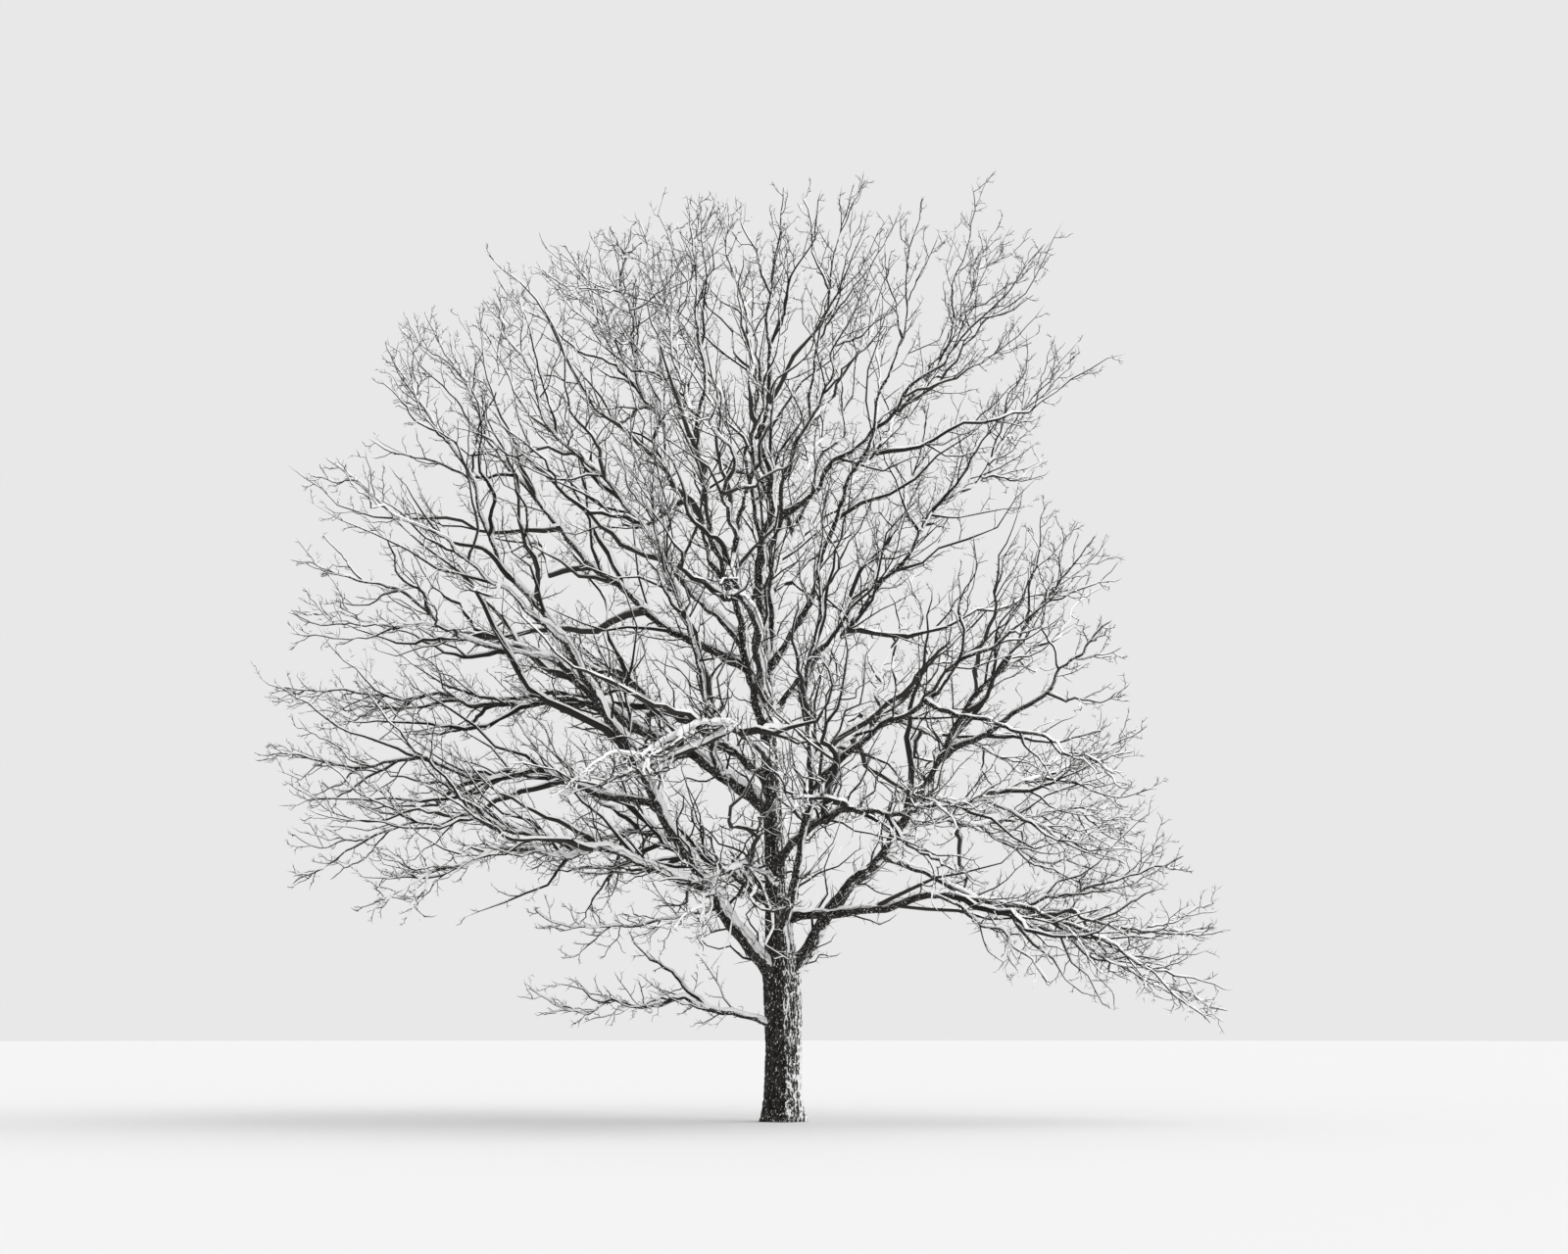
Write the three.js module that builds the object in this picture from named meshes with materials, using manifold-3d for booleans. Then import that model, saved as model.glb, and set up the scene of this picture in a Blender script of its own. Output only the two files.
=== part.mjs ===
// A bare, open-grown broadleaf tree in winter: trunk, main boughs and, at their ends, masses of leafless
// twigs. Millimetres, +Z up. The origin lies in the flat cut under the trunk, at ground level. -Y is the
// front.

import * as THREE from "three";
import Module from "manifold-3d";

const wasm = await Module();
wasm.setup();

const UP = new THREE.Vector3(0, 0, 1);
const GOLDEN_ANGLE = 2.39996;
// Keeps a division or a direction from coming out of nothing.
const TINY = 1e-9;

// Clear gap between two neighbouring solids, and the least air between a shoot and a limb that it passes.
const GAP = 0.3;
const AIR = 15;

// Flat sides of the tubes: trunk, boughs, and everything in a mass of twigs.
const TRUNK_SIDES = 20;
const BOUGH_SIDES = 7;
const TWIG_SIDES = 3;

// Trunk: height of a section, how far its middle leans to the right, and its radius. It swells again
// under the two great side boughs at 2.3 m and ends where the centre leader's twigs take over.
const TRUNK = [
  [0, -30, 400],
  [150, -30, 365],
  [450, -20, 330],
  [1200, -10, 312],
  [1900, -20, 325],
  [2350, -40, 335],
  [2900, -70, 265],
  [3700, -110, 220],
  [4900, -170, 185],
  [6700, -270, 150],
  [7900, -370, 120],
  [9300, -400, 95],
];
const TRUNK_TOP = TRUNK[TRUNK.length - 1][0];

// Root flare: five soft lobes that die away with height.
const FLARE_LOBES = 5;
const FLARE_DEPTH = 0.1;
const FLARE_HEIGHT = 260;
const FLARE_TURN = 0.6;

// Limbs: name, what carries it, where (height up the trunk, or share of the carrying limb), its tip, how
// far its middle stands off the straight line, its radius at the root, and the share of its length that
// is a bough before its twigs begin. A 0 there starts the twigs at the root, and a limb with none grows
// out of its carrier's twigs.
const LIMBS = [
  ["low_left", "trunk", 1620, [-4050, -1000, 1750], [-100, 0, 300], 55, 0],
  ["left_main", "trunk", 2270, [-6900, -1500, 13300], [-100, -50, -50], 125, 0.46],
  ["left_low_out", "left_main", 0.16, [-6650, -3400, 3400], [-250, 50, 800], 75, 0.33],
  ["left_sweep", "left_low_out", 0.36, [-8200, -1600, 3900], [50, -350, 750], 45],
  ["left_mid", "left_main", 0.29, [-9650, 2200, 6500], [100, 150, 200], 65, 0.4],
  ["left_broad", "trunk", 5260, [-8950, 1200, 9950], [400, 0, 300], 120, 0.34],
  ["left_level", "left_broad", 0.38, [-9550, 3200, 7900], [50, 350, -50], 55],
  ["left_riser", "left_broad", 0.12, [-2500, -4500, 11300], [150, -300, -500], 60, 0.4],
  ["left_outer", "left_main", 0.54, [-7400, -4200, 10600], [300, -50, -100], 50],
  ["leader_left", "trunk", 6720, [-1600, -2900, 15450], [-300, -100, -350], 105, 0.42],
  ["left_high", "leader_left", 0.13, [-6900, 3000, 15100], [-550, 250, -700], 80, 0.42],
  ["left_upper", "leader_left", 0.18, [-4800, -3600, 13450], [-450, 0, -100], 65, 0.42],
  ["left_crest", "leader_left", 0.3, [-4200, 3100, 16450], [250, 500, -300], 65, 0.4],
  ["leader_mid", "trunk", 7000, [-1050, 1800, 16900], [50, 300, 0], 85, 0.42],
  ["leader_centre", "trunk", 9300, [-50, -2000, 15900], [0, 0, -100], 90, 0],
  ["leader_right", "trunk", 7110, [1300, 400, 16800], [-400, 200, -500], 90, 0.38],
  ["right_rise", "leader_right", 0.41, [4450, -2200, 14800], [-400, 100, -550], 55],
  ["right_tall", "trunk", 7660, [2450, -2200, 15650], [100, 200, -850], 80, 0.36],
  ["right_crest", "right_tall", 0.5, [4150, 2600, 16800], [-150, 600, -800], 48],
  ["right_high", "trunk", 6890, [5600, 2800, 14250], [-450, -200, -500], 75, 0.42],
  ["right_main", "trunk", 2250, [5350, -1000, 10000], [100, -100, 200], 135, 0.45],
  ["right_fork", "right_main", 0.48, [5300, -3800, 8050], [50, -200, -150], 55],
  ["right_out", "right_main", 0.39, [6450, 1800, 7000], [-50, -50, -400], 55, 0.26],
  ["right_low_out", "right_main", 0.34, [6800, 4200, 5300], [-100, 100, 200], 50, 0.32],
  ["droop_low", "trunk", 3400, [6850, -2800, 1650], [600, -200, 1000], 75, 0.28],
  ["droop_high", "right_main", 0.28, [7550, 800, 3300], [250, 200, -400], 60, 0.25],
  ["droop_mid", "droop_high", 0.28, [7500, -800, 1900], [150, 350, -150], 40],
  ["right_long", "droop_high", 0.35, [6850, -600, 4450], [100, 400, -50], 30],
  ["right_stem", "trunk", 2650, [750, -5200, 10350], [50, -400, 50], 95, 0.5],
  ["right_sweep", "right_stem", 0.37, [4450, -4600, 8450], [0, 50, 50], 60, 0.4],
  ["right_cross", "right_sweep", 0.45, [5050, -5800, 5350], [50, -450, 0], 40],
  ["front_left", "trunk", 6200, [-3400, -7400, 4850], [250, -200, 700], 80, 0.4],
  ["front_low", "trunk", 3990, [-1600, -6400, 3000], [0, 0, 550], 60, 0.4],
  ["front_right", "trunk", 4410, [2600, -7400, 4350], [100, -200, 700], 75, 0.4],
  ["front_high", "trunk", 7150, [-1100, -7200, 11100], [-50, -300, 400], 85, 0.4],
  ["front_rise", "front_high", 0.44, [0, -4800, 13550], [50, -450, -150], 50],
  ["back_left", "trunk", 5770, [-6000, 7000, 9450], [200, 400, 400], 95, 0.4],
  ["back_right", "trunk", 4920, [3800, 7200, 9450], [-150, 200, 350], 95, 0.36],
  ["back_low_left", "trunk", 3650, [-5100, 6800, 4850], [150, 0, 950], 80, 0.4],
  ["back_low_right", "back_right", 0.48, [5450, 7000, 6250], [50, 50, 300], 50],
  ["back_high", "trunk", 8190, [800, 7400, 14650], [0, 300, -150], 85, 0.4],
  ["back_rise", "back_high", 0.44, [-2150, 5000, 15650], [-50, 300, 100], 50],
  ["left_inner", "left_main", 0.13, [-4250, -900, 3550], [-450, 0, -300], 26, 0],
  ["left_peak", "left_crest", 0.6, [-2900, -2900, 14900], [0, -200, 150], 24],
  ["left_crown", "leader_left", 0.55, [-2650, 1400, 16450], [0, 200, -50], 32],
  ["left_edge", "left_broad", 0.49, [-8150, -2200, 8450], [-200, -400, 150], 42],
  ["centre_right", "leader_right", 0.48, [1500, -3900, 14050], [0, -200, -150], 34],
  ["droop_under", "droop_low", 0.3, [4150, -3600, 2300], [200, -100, 100], 26],
  ["droop_twin", "droop_low", 0.41, [6950, -1000, 1850], [-50, -200, 100], 36],
  ["right_arc", "right_out", 0.28, [5850, -600, 4350], [100, 300, -100], 28],
  ["right_arc_low", "right_low_out", 0.34, [6150, 2400, 4350], [-200, 350, -100], 26],
  ["back_crest", "back_high", 0.46, [1550, 3900, 15900], [300, -300, -200], 36],
].map(([name, on, at, tip, bow, girth, bough]) => ({ name, on, at, tip, bow, girth, bough }));

// The share of its forks that a limb has, where that isn't all of them: the long hanging limbs are nearly
// bare, and the steep ones at the top are slender.
const BARER = {
  low_left: 0.4,
  left_inner: 0.5,
  left_main: 0.85,
  left_broad: 0.7,
  left_outer: 0.65,
  left_edge: 0.6,
  left_high: 0.85,
  leader_left: 0.75,
  left_crown: 0.9,
  leader_mid: 0.55,
  leader_centre: 0.6,
  leader_right: 0.55,
  centre_right: 0.4,
  right_tall: 0.55,
  right_crest: 0.6,
  right_rise: 0.5,
  right_fork: 0.7,
  right_long: 0.6,
  right_arc: 0.5,
  right_arc_low: 0.6,
  right_stem: 0.8,
  right_sweep: 0.85,
  right_cross: 0.75,
  droop_low: 0.4,
  droop_high: 0.45,
  droop_mid: 0.35,
  droop_under: 0.35,
  droop_twin: 0.35,
  front_left: 0.75,
  front_low: 0.7,
  front_right: 0.8,
  front_high: 0.5,
  front_rise: 0.4,
  back_left: 0.85,
  back_high: 0.55,
  back_rise: 0.6,
  back_crest: 0.5,
};

// Every limb is a bent line of this many pieces that wanders a little and tapers to its tip.
const LIMB_PIECES = 10;
const LIMB_WANDER = 0.042;
const LIMB_TIP = 9;
const LIMB_TAPER = 1.08;
const ROOT_COLLAR = 1.3;

// The crown grows outward from here, and no shoot stands further from it than the tip of its own limb.
const CROWN_CENTRE = new THREE.Vector3(-400, 0, 5000);
const REACH_MARGIN = 120;
const LOWEST_TWIG = 1450;
// A fork belongs to its limb's space while its tip is less than this many times as far from it as from
// the next.
const SPACE_SHARE = 1.9;

// Side shoots. step: spacing along the parent between the shares from and to. angle: degrees off the
// parent. length = (base + ofRest x what is left of the parent) x a chance value in vary, less on the
// underside. up and out: how far the end bends to the light and away from the crown's centre, as shares
// of its length. girth: radius as a share of the parent's there, but no more than slim x length and a
// little; tip: end radius.
const FORKS = {
  order: 1, from: 0.2, to: 0.93, step: 520, angle: [18, 48],
  base: 300, ofRest: 0.88, vary: [0.62, 1.1], under: 0.22, longest: 5500, shortest: 300,
  up: 0.1, out: 0.1, pieces: 4, zigzag: 0.045, girth: 0.76, slim: 0.0125, tip: 6, taper: 0.95,
};
const SPRAYS = {
  order: 2, from: 0.12, to: 0.985, step: 230, angle: [32, 62],
  base: 340, ofRest: 0.2, vary: [0.5, 1.2], under: 0.35, longest: 1500, shortest: 120,
  up: 0.22, out: 0.1, pieces: 3, zigzag: 0.05, girth: 0.62, slim: 0.0075, tip: 3.8, taper: 1,
};

// Where the shoots of a line stand: even shares of it, each moved by up to half of SHARE_PLAY of a step,
// turned round it by the golden angle, give or take half of TURN_PLAY, in radians.
const SHARE_PLAY = 0.6;
const TURN_PLAY = 1.2;
// Shoots lean outward less than upward: the rise from the crown's centre counts for this share.
const OUTWARD_RISE = 0.5;
// A shoot is never thinner at its root than this, over what slim x length gives, nor than so many times
// its tip.
const LEAST_GIRTH = 3;
const LEAST_TAPER = 1.2;
// The up-and-down part of a shoot's zigzag, against its sideways part, and the share of it left at the
// tip.
const ZIGZAG_RISE = 1.5;
const ZIGZAG_TIP = 0.5;

// Only shoots longer than these are solids. A three-sided tube is drawn stouter, to hold a round one's
// wood.
const SOLID_FORK = 1200;
const SOLID_SPRAY = 1100;
const STOUTER = 1.4;
// No solid shoot starts nearer than this share of its limb to the end of the bough, and no corner of a
// limb stands nearer than this share to an end of its stretch.
const PAST_BOUGH = 0.02;
const LEAST_STEP = 0.02;
// Just short of the share where a bough ends: the direction of its last piece is read there.
const JUST_BEFORE = 1e-6;

// What each chance value of a seed decides. A parent's first turn, and the wander and zigzag of a line's
// corners, have seeds of their own.
const SIDEWAYS = 1;
const UPWARD = 2;
const PLACE = 1;
const TURN = 2;
const ANGLE = 3;
const LENGTH = 4;
const KEEP = 5;
const FIRST_TURN = 9;
const LIMB_SEEDS = 1000;
const ORDER_SEEDS = 1000;
const CORNER_SEEDS = 500;

const BARK = new THREE.MeshStandardMaterial({ color: 0x2b2826, roughness: 0.95, metalness: 0 });
const YOUNG_BARK = new THREE.MeshStandardMaterial({ color: 0x39342f, roughness: 0.9, metalness: 0 });

// Seeded chance

// Mixes a whole number with a channel number into an even value from 0 to 1.
function chance(seed, channel) {
  let x = (Math.imul(seed, 2654435761) + Math.imul(channel, 2246822519)) >>> 0;
  x = (x ^ (x >>> 15)) >>> 0;
  x = Math.imul(x, 739982445) >>> 0;
  x = (x ^ (x >>> 12)) >>> 0;
  x = Math.imul(x, 695872825) >>> 0;
  x = (x ^ (x >>> 15)) >>> 0;
  return x / 4294967296;
}

function seedOf(seed, index) {
  return (Math.imul(seed, 747796405) + Math.imul(index, 2891336453) + 12345) >>> 0;
}

// Lines of the tree

function mix(a, b, share) {
  return a + (b - a) * share;
}

function trunkAt(height) {
  let row = 0;
  while (row < TRUNK.length - 2 && TRUNK[row + 1][0] < height) {
    row += 1;
  }
  const [z0, x0, r0] = TRUNK[row];
  const [z1, x1, r1] = TRUNK[row + 1];
  const share = (height - z0) / (z1 - z0);
  return { point: new THREE.Vector3(mix(x0, x1, share), 0, height), radius: mix(r0, r1, share) };
}

const TRUNK_LINE = {
  points: TRUNK.map(([height, x]) => new THREE.Vector3(x, 0, height)),
  radii: TRUNK.map(([, , radius]) => radius),
};

// Place, radius and direction at a share of a bent line.
function along(line, share) {
  const pieces = line.points.length - 1;
  const piece = Math.min(Math.floor(share * pieces), pieces - 1);
  const rest = share * pieces - piece;
  const a = line.points[piece];
  const b = line.points[piece + 1];
  return {
    point: a.clone().lerp(b, rest),
    radius: mix(line.radii[piece], line.radii[piece + 1], rest),
    direction: b.clone().sub(a).normalize(),
  };
}

// Sideways and upward directions across a line.
function across(direction) {
  const side = new THREE.Vector3().crossVectors(direction, UP).addScalar(TINY).normalize();
  const top = new THREE.Vector3().crossVectors(side, direction);
  return { side, top };
}

function limbLine(limb, index, carrier) {
  const root = limb.on === "trunk" ? trunkAt(limb.at).point : along(carrier, limb.at).point;
  const tip = new THREE.Vector3(...limb.tip);
  const middle = root.clone().lerp(tip, 0.5);
  const control = middle.clone().addScaledVector(new THREE.Vector3(...limb.bow), 2);
  const curve = new THREE.QuadraticBezierCurve3(root, control, tip);
  const plain = curve.getPoints(LIMB_PIECES);
  let length = 0;
  for (let k = 0; k < LIMB_PIECES; k += 1) {
    length += plain[k].distanceTo(plain[k + 1]);
  }
  const seed = seedOf(LIMB_SEEDS + index, 0);
  const points = [];
  const radii = [];
  for (let k = 0; k <= LIMB_PIECES; k += 1) {
    const share = k / LIMB_PIECES;
    const direction = control.clone().sub(root).multiplyScalar(1 - share);
    direction.addScaledVector(tip.clone().sub(control), share).normalize();
    const { side, top } = across(direction);
    const sway = LIMB_WANDER * length * Math.sqrt(Math.max(0, Math.sin(Math.PI * share)));
    const own = seedOf(seed, k);
    const point = plain[k].clone();
    point.addScaledVector(side, sway * (chance(own, SIDEWAYS) - 0.5));
    point.addScaledVector(top, sway * (chance(own, UPWARD) - 0.5));
    points.push(point);
    radii.push(LIMB_TIP + (limb.girth - LIMB_TIP) * (1 - share) ** LIMB_TAPER);
  }
  return { ...limb, points, radii, length, seed, reach: tip.distanceTo(CROWN_CENTRE) + REACH_MARGIN };
}

function allLimbs() {
  const lines = {};
  LIMBS.forEach((limb, index) => {
    lines[limb.name] = limbLine(limb, index, lines[limb.on]);
  });
  return lines;
}

// The side shoots of one parent line, by one rule.
function sideShoots(parent, rule, reach) {
  const shoots = [];
  const count = Math.max(1, Math.round(((rule.to - rule.from) * parent.length) / rule.step));
  for (let j = 0; j < count; j += 1) {
    const seed = seedOf(parent.seed, ORDER_SEEDS * rule.order + j);
    const step = j + 0.5 + SHARE_PLAY * (chance(seed, PLACE) - 0.5);
    const share = rule.from + ((rule.to - rule.from) * step) / count;
    const { point: root, radius, direction } = along(parent, share);
    const { side, top } = across(direction);
    const play = TURN_PLAY * (chance(seed, TURN) - 0.5);
    const roll = j * GOLDEN_ANGLE + play + chance(parent.seed, FIRST_TURN) * 2 * Math.PI;
    const radial = side.clone().multiplyScalar(Math.cos(roll)).addScaledVector(top, Math.sin(roll));
    const angle = THREE.MathUtils.degToRad(mix(rule.angle[0], rule.angle[1], chance(seed, ANGLE)));
    const heading = direction.clone().multiplyScalar(Math.cos(angle));
    heading.addScaledVector(radial, Math.sin(angle));
    const rest = (1 - share) * parent.length;
    const under = 1 - rule.under * Math.max(0, -radial.z);
    const luck = mix(rule.vary[0], rule.vary[1], chance(seed, LENGTH));
    const length = Math.min((rule.base + rule.ofRest * rest) * luck * under, rule.longest);
    const outward = root.clone().sub(CROWN_CENTRE);
    outward.z *= OUTWARD_RISE;
    outward.normalize();
    const pull = UP.clone().multiplyScalar(rule.up).addScaledVector(outward, rule.out);
    const cross = across(heading);
    const slim = Math.min(radius * rule.girth, rule.slim * length + LEAST_GIRTH);
    const girth = Math.max(slim, rule.tip * LEAST_TAPER);
    const points = [];
    const radii = [];
    for (let k = 0; k <= rule.pieces; k += 1) {
      const t = k / rule.pieces;
      const point = root.clone().addScaledVector(heading, length * t).addScaledVector(pull, length * t * t);
      if (k > 0) {
        const bend = rule.zigzag * length * (k < rule.pieces ? 1 : ZIGZAG_TIP);
        const own = seedOf(seed, CORNER_SEEDS + k);
        const swing = (k % 2 === 0 ? 0 : -1) + chance(own, SIDEWAYS);
        point.addScaledVector(cross.side, bend * swing);
        point.addScaledVector(cross.top, bend * ZIGZAG_RISE * (chance(own, UPWARD) - 0.5));
      }
      points.push(point);
      radii.push(rule.tip + (girth - rule.tip) * (1 - t) ** rule.taper);
    }
    const lowest = Math.min(...points.map((p) => p.z));
    const inReach = points[rule.pieces].distanceTo(CROWN_CENTRE) < reach;
    if (lowest > LOWEST_TWIG && length > rule.shortest && inReach) {
      shoots.push({ points, radii, length, seed, share });
    }
  }
  return shoots;
}

// Least distance between the straight pieces a0-a1 and b0-b1.
function pieceDistance(a0, a1, b0, b1) {
  const d1 = a1.clone().sub(a0);
  const d2 = b1.clone().sub(b0);
  const r = a0.clone().sub(b0);
  const a = d1.dot(d1);
  const e = d2.dot(d2);
  const b = d1.dot(d2);
  const c = d1.dot(r);
  const f = d2.dot(r);
  const denominator = a * e - b * b;
  let s = denominator > TINY ? THREE.MathUtils.clamp((b * f - c * e) / denominator, 0, 1) : 0;
  const t = THREE.MathUtils.clamp((b * s + f) / e, 0, 1);
  s = THREE.MathUtils.clamp((b * t - c) / a, 0, 1);
  return a0.clone().addScaledVector(d1, s).distanceTo(b0.clone().addScaledVector(d2, t));
}

// True where two lines come nearer than their radii and the air between them.
function touches(one, other, air) {
  for (let i = 0; i + 1 < one.points.length; i += 1) {
    for (let k = 0; k + 1 < other.points.length; k += 1) {
      const clear = one.radii[i] + other.radii[k] + air;
      const gap = pieceDistance(one.points[i], one.points[i + 1], other.points[k], other.points[k + 1]);
      if (gap < clear) {
        return true;
      }
    }
  }
  return false;
}

// Nearest distance from a point to the corners and middles of a line.
function nearness(point, line) {
  let nearest = Infinity;
  for (let k = 0; k + 1 < line.points.length; k += 1) {
    nearest = Math.min(nearest, point.distanceTo(line.points[k]));
    nearest = Math.min(nearest, point.distanceTo(line.points[k].clone().lerp(line.points[k + 1], 0.5)));
  }
  return Math.min(nearest, point.distanceTo(line.points[line.points.length - 1]));
}

// The forks of one limb that stay in its space and touch neither the trunk nor another limb.
function forksOf(limb, others) {
  return sideShoots(limb, FORKS, limb.reach).filter((fork) => {
    if (chance(fork.seed, KEEP) > (BARER[limb.name] ?? 1)) {
      return false;
    }
    const tip = fork.points[FORKS.pieces];
    const next = Math.min(...others.map((line) => nearness(tip, line)));
    const inSpace = nearness(tip, limb) < next * SPACE_SHARE;
    return inSpace && ![TRUNK_LINE, ...others].some((line) => touches(fork, line, AIR));
  });
}

// Solids

function solidOf(corners, faces) {
  const mesh = new wasm.Mesh({
    numProp: 3,
    vertProperties: new Float32Array(corners.flatMap((p) => [p.x, p.y, p.z])),
    triVerts: new Uint32Array(faces.flat()),
  });
  return new wasm.Manifold(mesh);
}

// A closed skin over rings of corners, its first end flat and its last end flat or drawn to a point.
function skin(rings, point) {
  const sides = rings[0].length;
  const corners = rings.flat();
  const faces = [];
  for (let ring = 0; ring + 1 < rings.length; ring += 1) {
    for (let k = 0; k < sides; k += 1) {
      const a = ring * sides + k;
      const b = ring * sides + ((k + 1) % sides);
      faces.push([a, b, b + sides], [a, b + sides, a + sides]);
    }
  }
  for (let k = 1; k + 1 < sides; k += 1) {
    faces.push([0, k + 1, k]);
  }
  const last = (rings.length - 1) * sides;
  if (point) {
    corners.push(point);
    for (let k = 0; k < sides; k += 1) {
      faces.push([last + k, last + ((k + 1) % sides), corners.length - 1]);
    }
  } else {
    for (let k = 1; k + 1 < sides; k += 1) {
      faces.push([last, last + k, last + k + 1]);
    }
  }
  return solidOf(corners, faces);
}

function ringRound(centre, direction, start, radius, sides) {
  const side = start.clone().addScaledVector(direction, -start.dot(direction)).normalize();
  const top = new THREE.Vector3().crossVectors(direction, side);
  const ring = [];
  for (let k = 0; k < sides; k += 1) {
    const turn = (2 * Math.PI * k) / sides;
    const corner = centre.clone().addScaledVector(side, radius * Math.cos(turn));
    ring.push(corner.addScaledVector(top, radius * Math.sin(turn)));
  }
  return { ring, side };
}

// A tapered tube along a bent line. ends: the directions of its first and last ring, where not the line's
// own.
function tube(points, radii, sides, pointed, ends = {}) {
  const rings = [];
  const last = points.length - 1;
  let start = across(points[1].clone().sub(points[0]).normalize()).side;
  for (let k = 0; k <= (pointed ? last - 1 : last); k += 1) {
    const before = points[k].clone().sub(points[Math.max(k - 1, 0)]).normalize();
    const after = points[Math.min(k + 1, last)].clone().sub(points[k]).normalize();
    let direction = before.add(after).normalize();
    if (k === 0 && ends.first) {
      direction = ends.first;
    }
    if (k === last && ends.last) {
      direction = ends.last;
    }
    const { ring, side } = ringRound(points[k], direction, start, radii[k], sides);
    rings.push(ring);
    start = side;
  }
  return skin(rings, pointed ? points[last] : null);
}

function trunkSolid(clearance) {
  const rings = TRUNK.map(([height, x, radius], index) => {
    const ring = [];
    const lift = index === TRUNK.length - 1 ? clearance : 0;
    for (let k = 0; k < TRUNK_SIDES; k += 1) {
      const turn = (2 * Math.PI * k) / TRUNK_SIDES;
      const flare = FLARE_DEPTH * Math.exp(-height / FLARE_HEIGHT);
      const out = radius * (1 + flare * Math.cos(FLARE_LOBES * turn + FLARE_TURN)) + clearance;
      ring.push(new THREE.Vector3(x + out * Math.cos(turn), out * Math.sin(turn), height + lift));
    }
    return ring;
  });
  return skin(rings, null);
}

// The corners of a limb from its root to a share, or from a share to its tip.
function stretch(line, from, to) {
  const points = [];
  const radii = [];
  const add = (share) => {
    const place = along(line, share);
    points.push(place.point);
    radii.push(place.radius);
  };
  add(from);
  for (let k = 1; k < LIMB_PIECES; k += 1) {
    const share = k / LIMB_PIECES;
    if (share > from + LEAST_STEP && share < to - LEAST_STEP) {
      add(share);
    }
  }
  add(to);
  return { points, radii };
}

function boughSolid(line, clearance) {
  const { points, radii } = stretch(line, 0, line.bough);
  radii[0] *= ROOT_COLLAR;
  const wider = radii.map((radius) => radius + clearance / Math.cos(Math.PI / BOUGH_SIDES));
  return tube(points, wider, BOUGH_SIDES, false, { last: along(line, line.bough - JUST_BEFORE).direction });
}

function biggestBody(solid) {
  const bodies = solid.decompose();
  bodies.sort((a, b) => b.volume() - a.volume());
  return bodies[0];
}

function boxesMeet(one, other) {
  const a = one.boundingBox();
  const b = other.boundingBox();
  return [0, 1, 2].every((axis) => a.min[axis] < b.max[axis] + 1 && b.min[axis] < a.max[axis] + 1);
}

function twigSolid({ points, radii }, ends) {
  return tube(points, radii.map((radius) => radius * STOUTER), TWIG_SIDES, true, ends);
}

function meshOf(name, solid, material) {
  const { numProp, vertProperties, triVerts } = solid.getMesh();
  const positions = new Float32Array((vertProperties.length / numProp) * 3);
  for (let k = 0; k < positions.length / 3; k += 1) {
    positions.set(vertProperties.subarray(k * numProp, k * numProp + 3), k * 3);
  }
  const geometry = new THREE.BufferGeometry();
  geometry.setAttribute("position", new THREE.BufferAttribute(positions, 3));
  geometry.setIndex(new THREE.BufferAttribute(new Uint32Array(triVerts), 1));
  geometry.computeVertexNormals();
  const mesh = new THREE.Mesh(geometry, material);
  mesh.name = name;
  return mesh;
}

// Assembly

const group = new THREE.Group();
const lines = allLimbs();
const all = Object.values(lines);

const trunk = trunkSolid(0);
group.add(meshOf("trunk", trunk, BARK));

// Boughs, each cut clear of the trunk and of the boughs made before it.
const widened = new Map([["trunk", trunkSolid(GAP / Math.cos(Math.PI / TRUNK_SIDES))]]);
for (const limb of all.filter((line) => line.bough > 0)) {
  let solid = boughSolid(limb, 0);
  for (const other of widened.values()) {
    if (boxesMeet(solid, other)) {
      solid = solid.subtract(other);
    }
  }
  widened.set(limb.name, boughSolid(limb, GAP));
  group.add(meshOf(`bough_${limb.name}`, biggestBody(solid), BARK));
}

// The limb whose mass a limb belongs to.
function massOf(limb) {
  return limb.bough === undefined ? massOf(lines[limb.on]) : limb;
}

// Masses: each limb's run beyond its bough, the limbs that grow out of it, and their forks and long
// sprays.
const masses = new Map();
for (const limb of all) {
  const run = stretch(limb, limb.bough ?? 0, 1);
  const ends = {};
  if (limb.bough > 0) {
    ends.first = along(limb, limb.bough - JUST_BEFORE).direction;
  }
  if (limb.at === TRUNK_TOP) {
    ends.first = UP;
  }
  if (ends.first) {
    run.points[0].addScaledVector(ends.first, GAP);
  }
  const name = massOf(limb).name;
  masses.set(name, [...(masses.get(name) ?? []), twigSolid(run, ends)]);
}

const grown = [];
for (const limb of all) {
  const name = massOf(limb).name;
  const start = limb.bough ?? 0;
  const others = all.filter((line) => line !== limb);
  const fixed = [TRUNK_LINE, ...others];
  if (start > 0) {
    fixed.push(stretch(limb, 0, start));
  }
  const keep = (shoot) => {
    const strangers = grown.filter((entry) => entry.name !== name).map((entry) => entry.shoot);
    if (![...fixed, ...strangers].some((line) => touches(shoot, line, AIR))) {
      grown.push({ name, shoot });
      masses.get(name).push(twigSolid(shoot));
      return true;
    }
    return false;
  };
  for (const fork of forksOf(limb, others)) {
    if (fork.share > start + PAST_BOUGH && fork.length > SOLID_FORK && keep(fork)) {
      sideShoots(fork, SPRAYS, limb.reach).filter((spray) => spray.length > SOLID_SPRAY).forEach(keep);
    }
  }
}

for (const [name, solids] of masses) {
  let solid = wasm.Manifold.union(solids);
  if (lines[name].bough === 0 && lines[name].at < TRUNK_TOP) {
    solid = solid.subtract(widened.get(lines[name].on));
  }
  group.add(meshOf(`twigs_${name}`, biggestBody(solid), YOUNG_BARK));
}

export default group;
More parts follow.
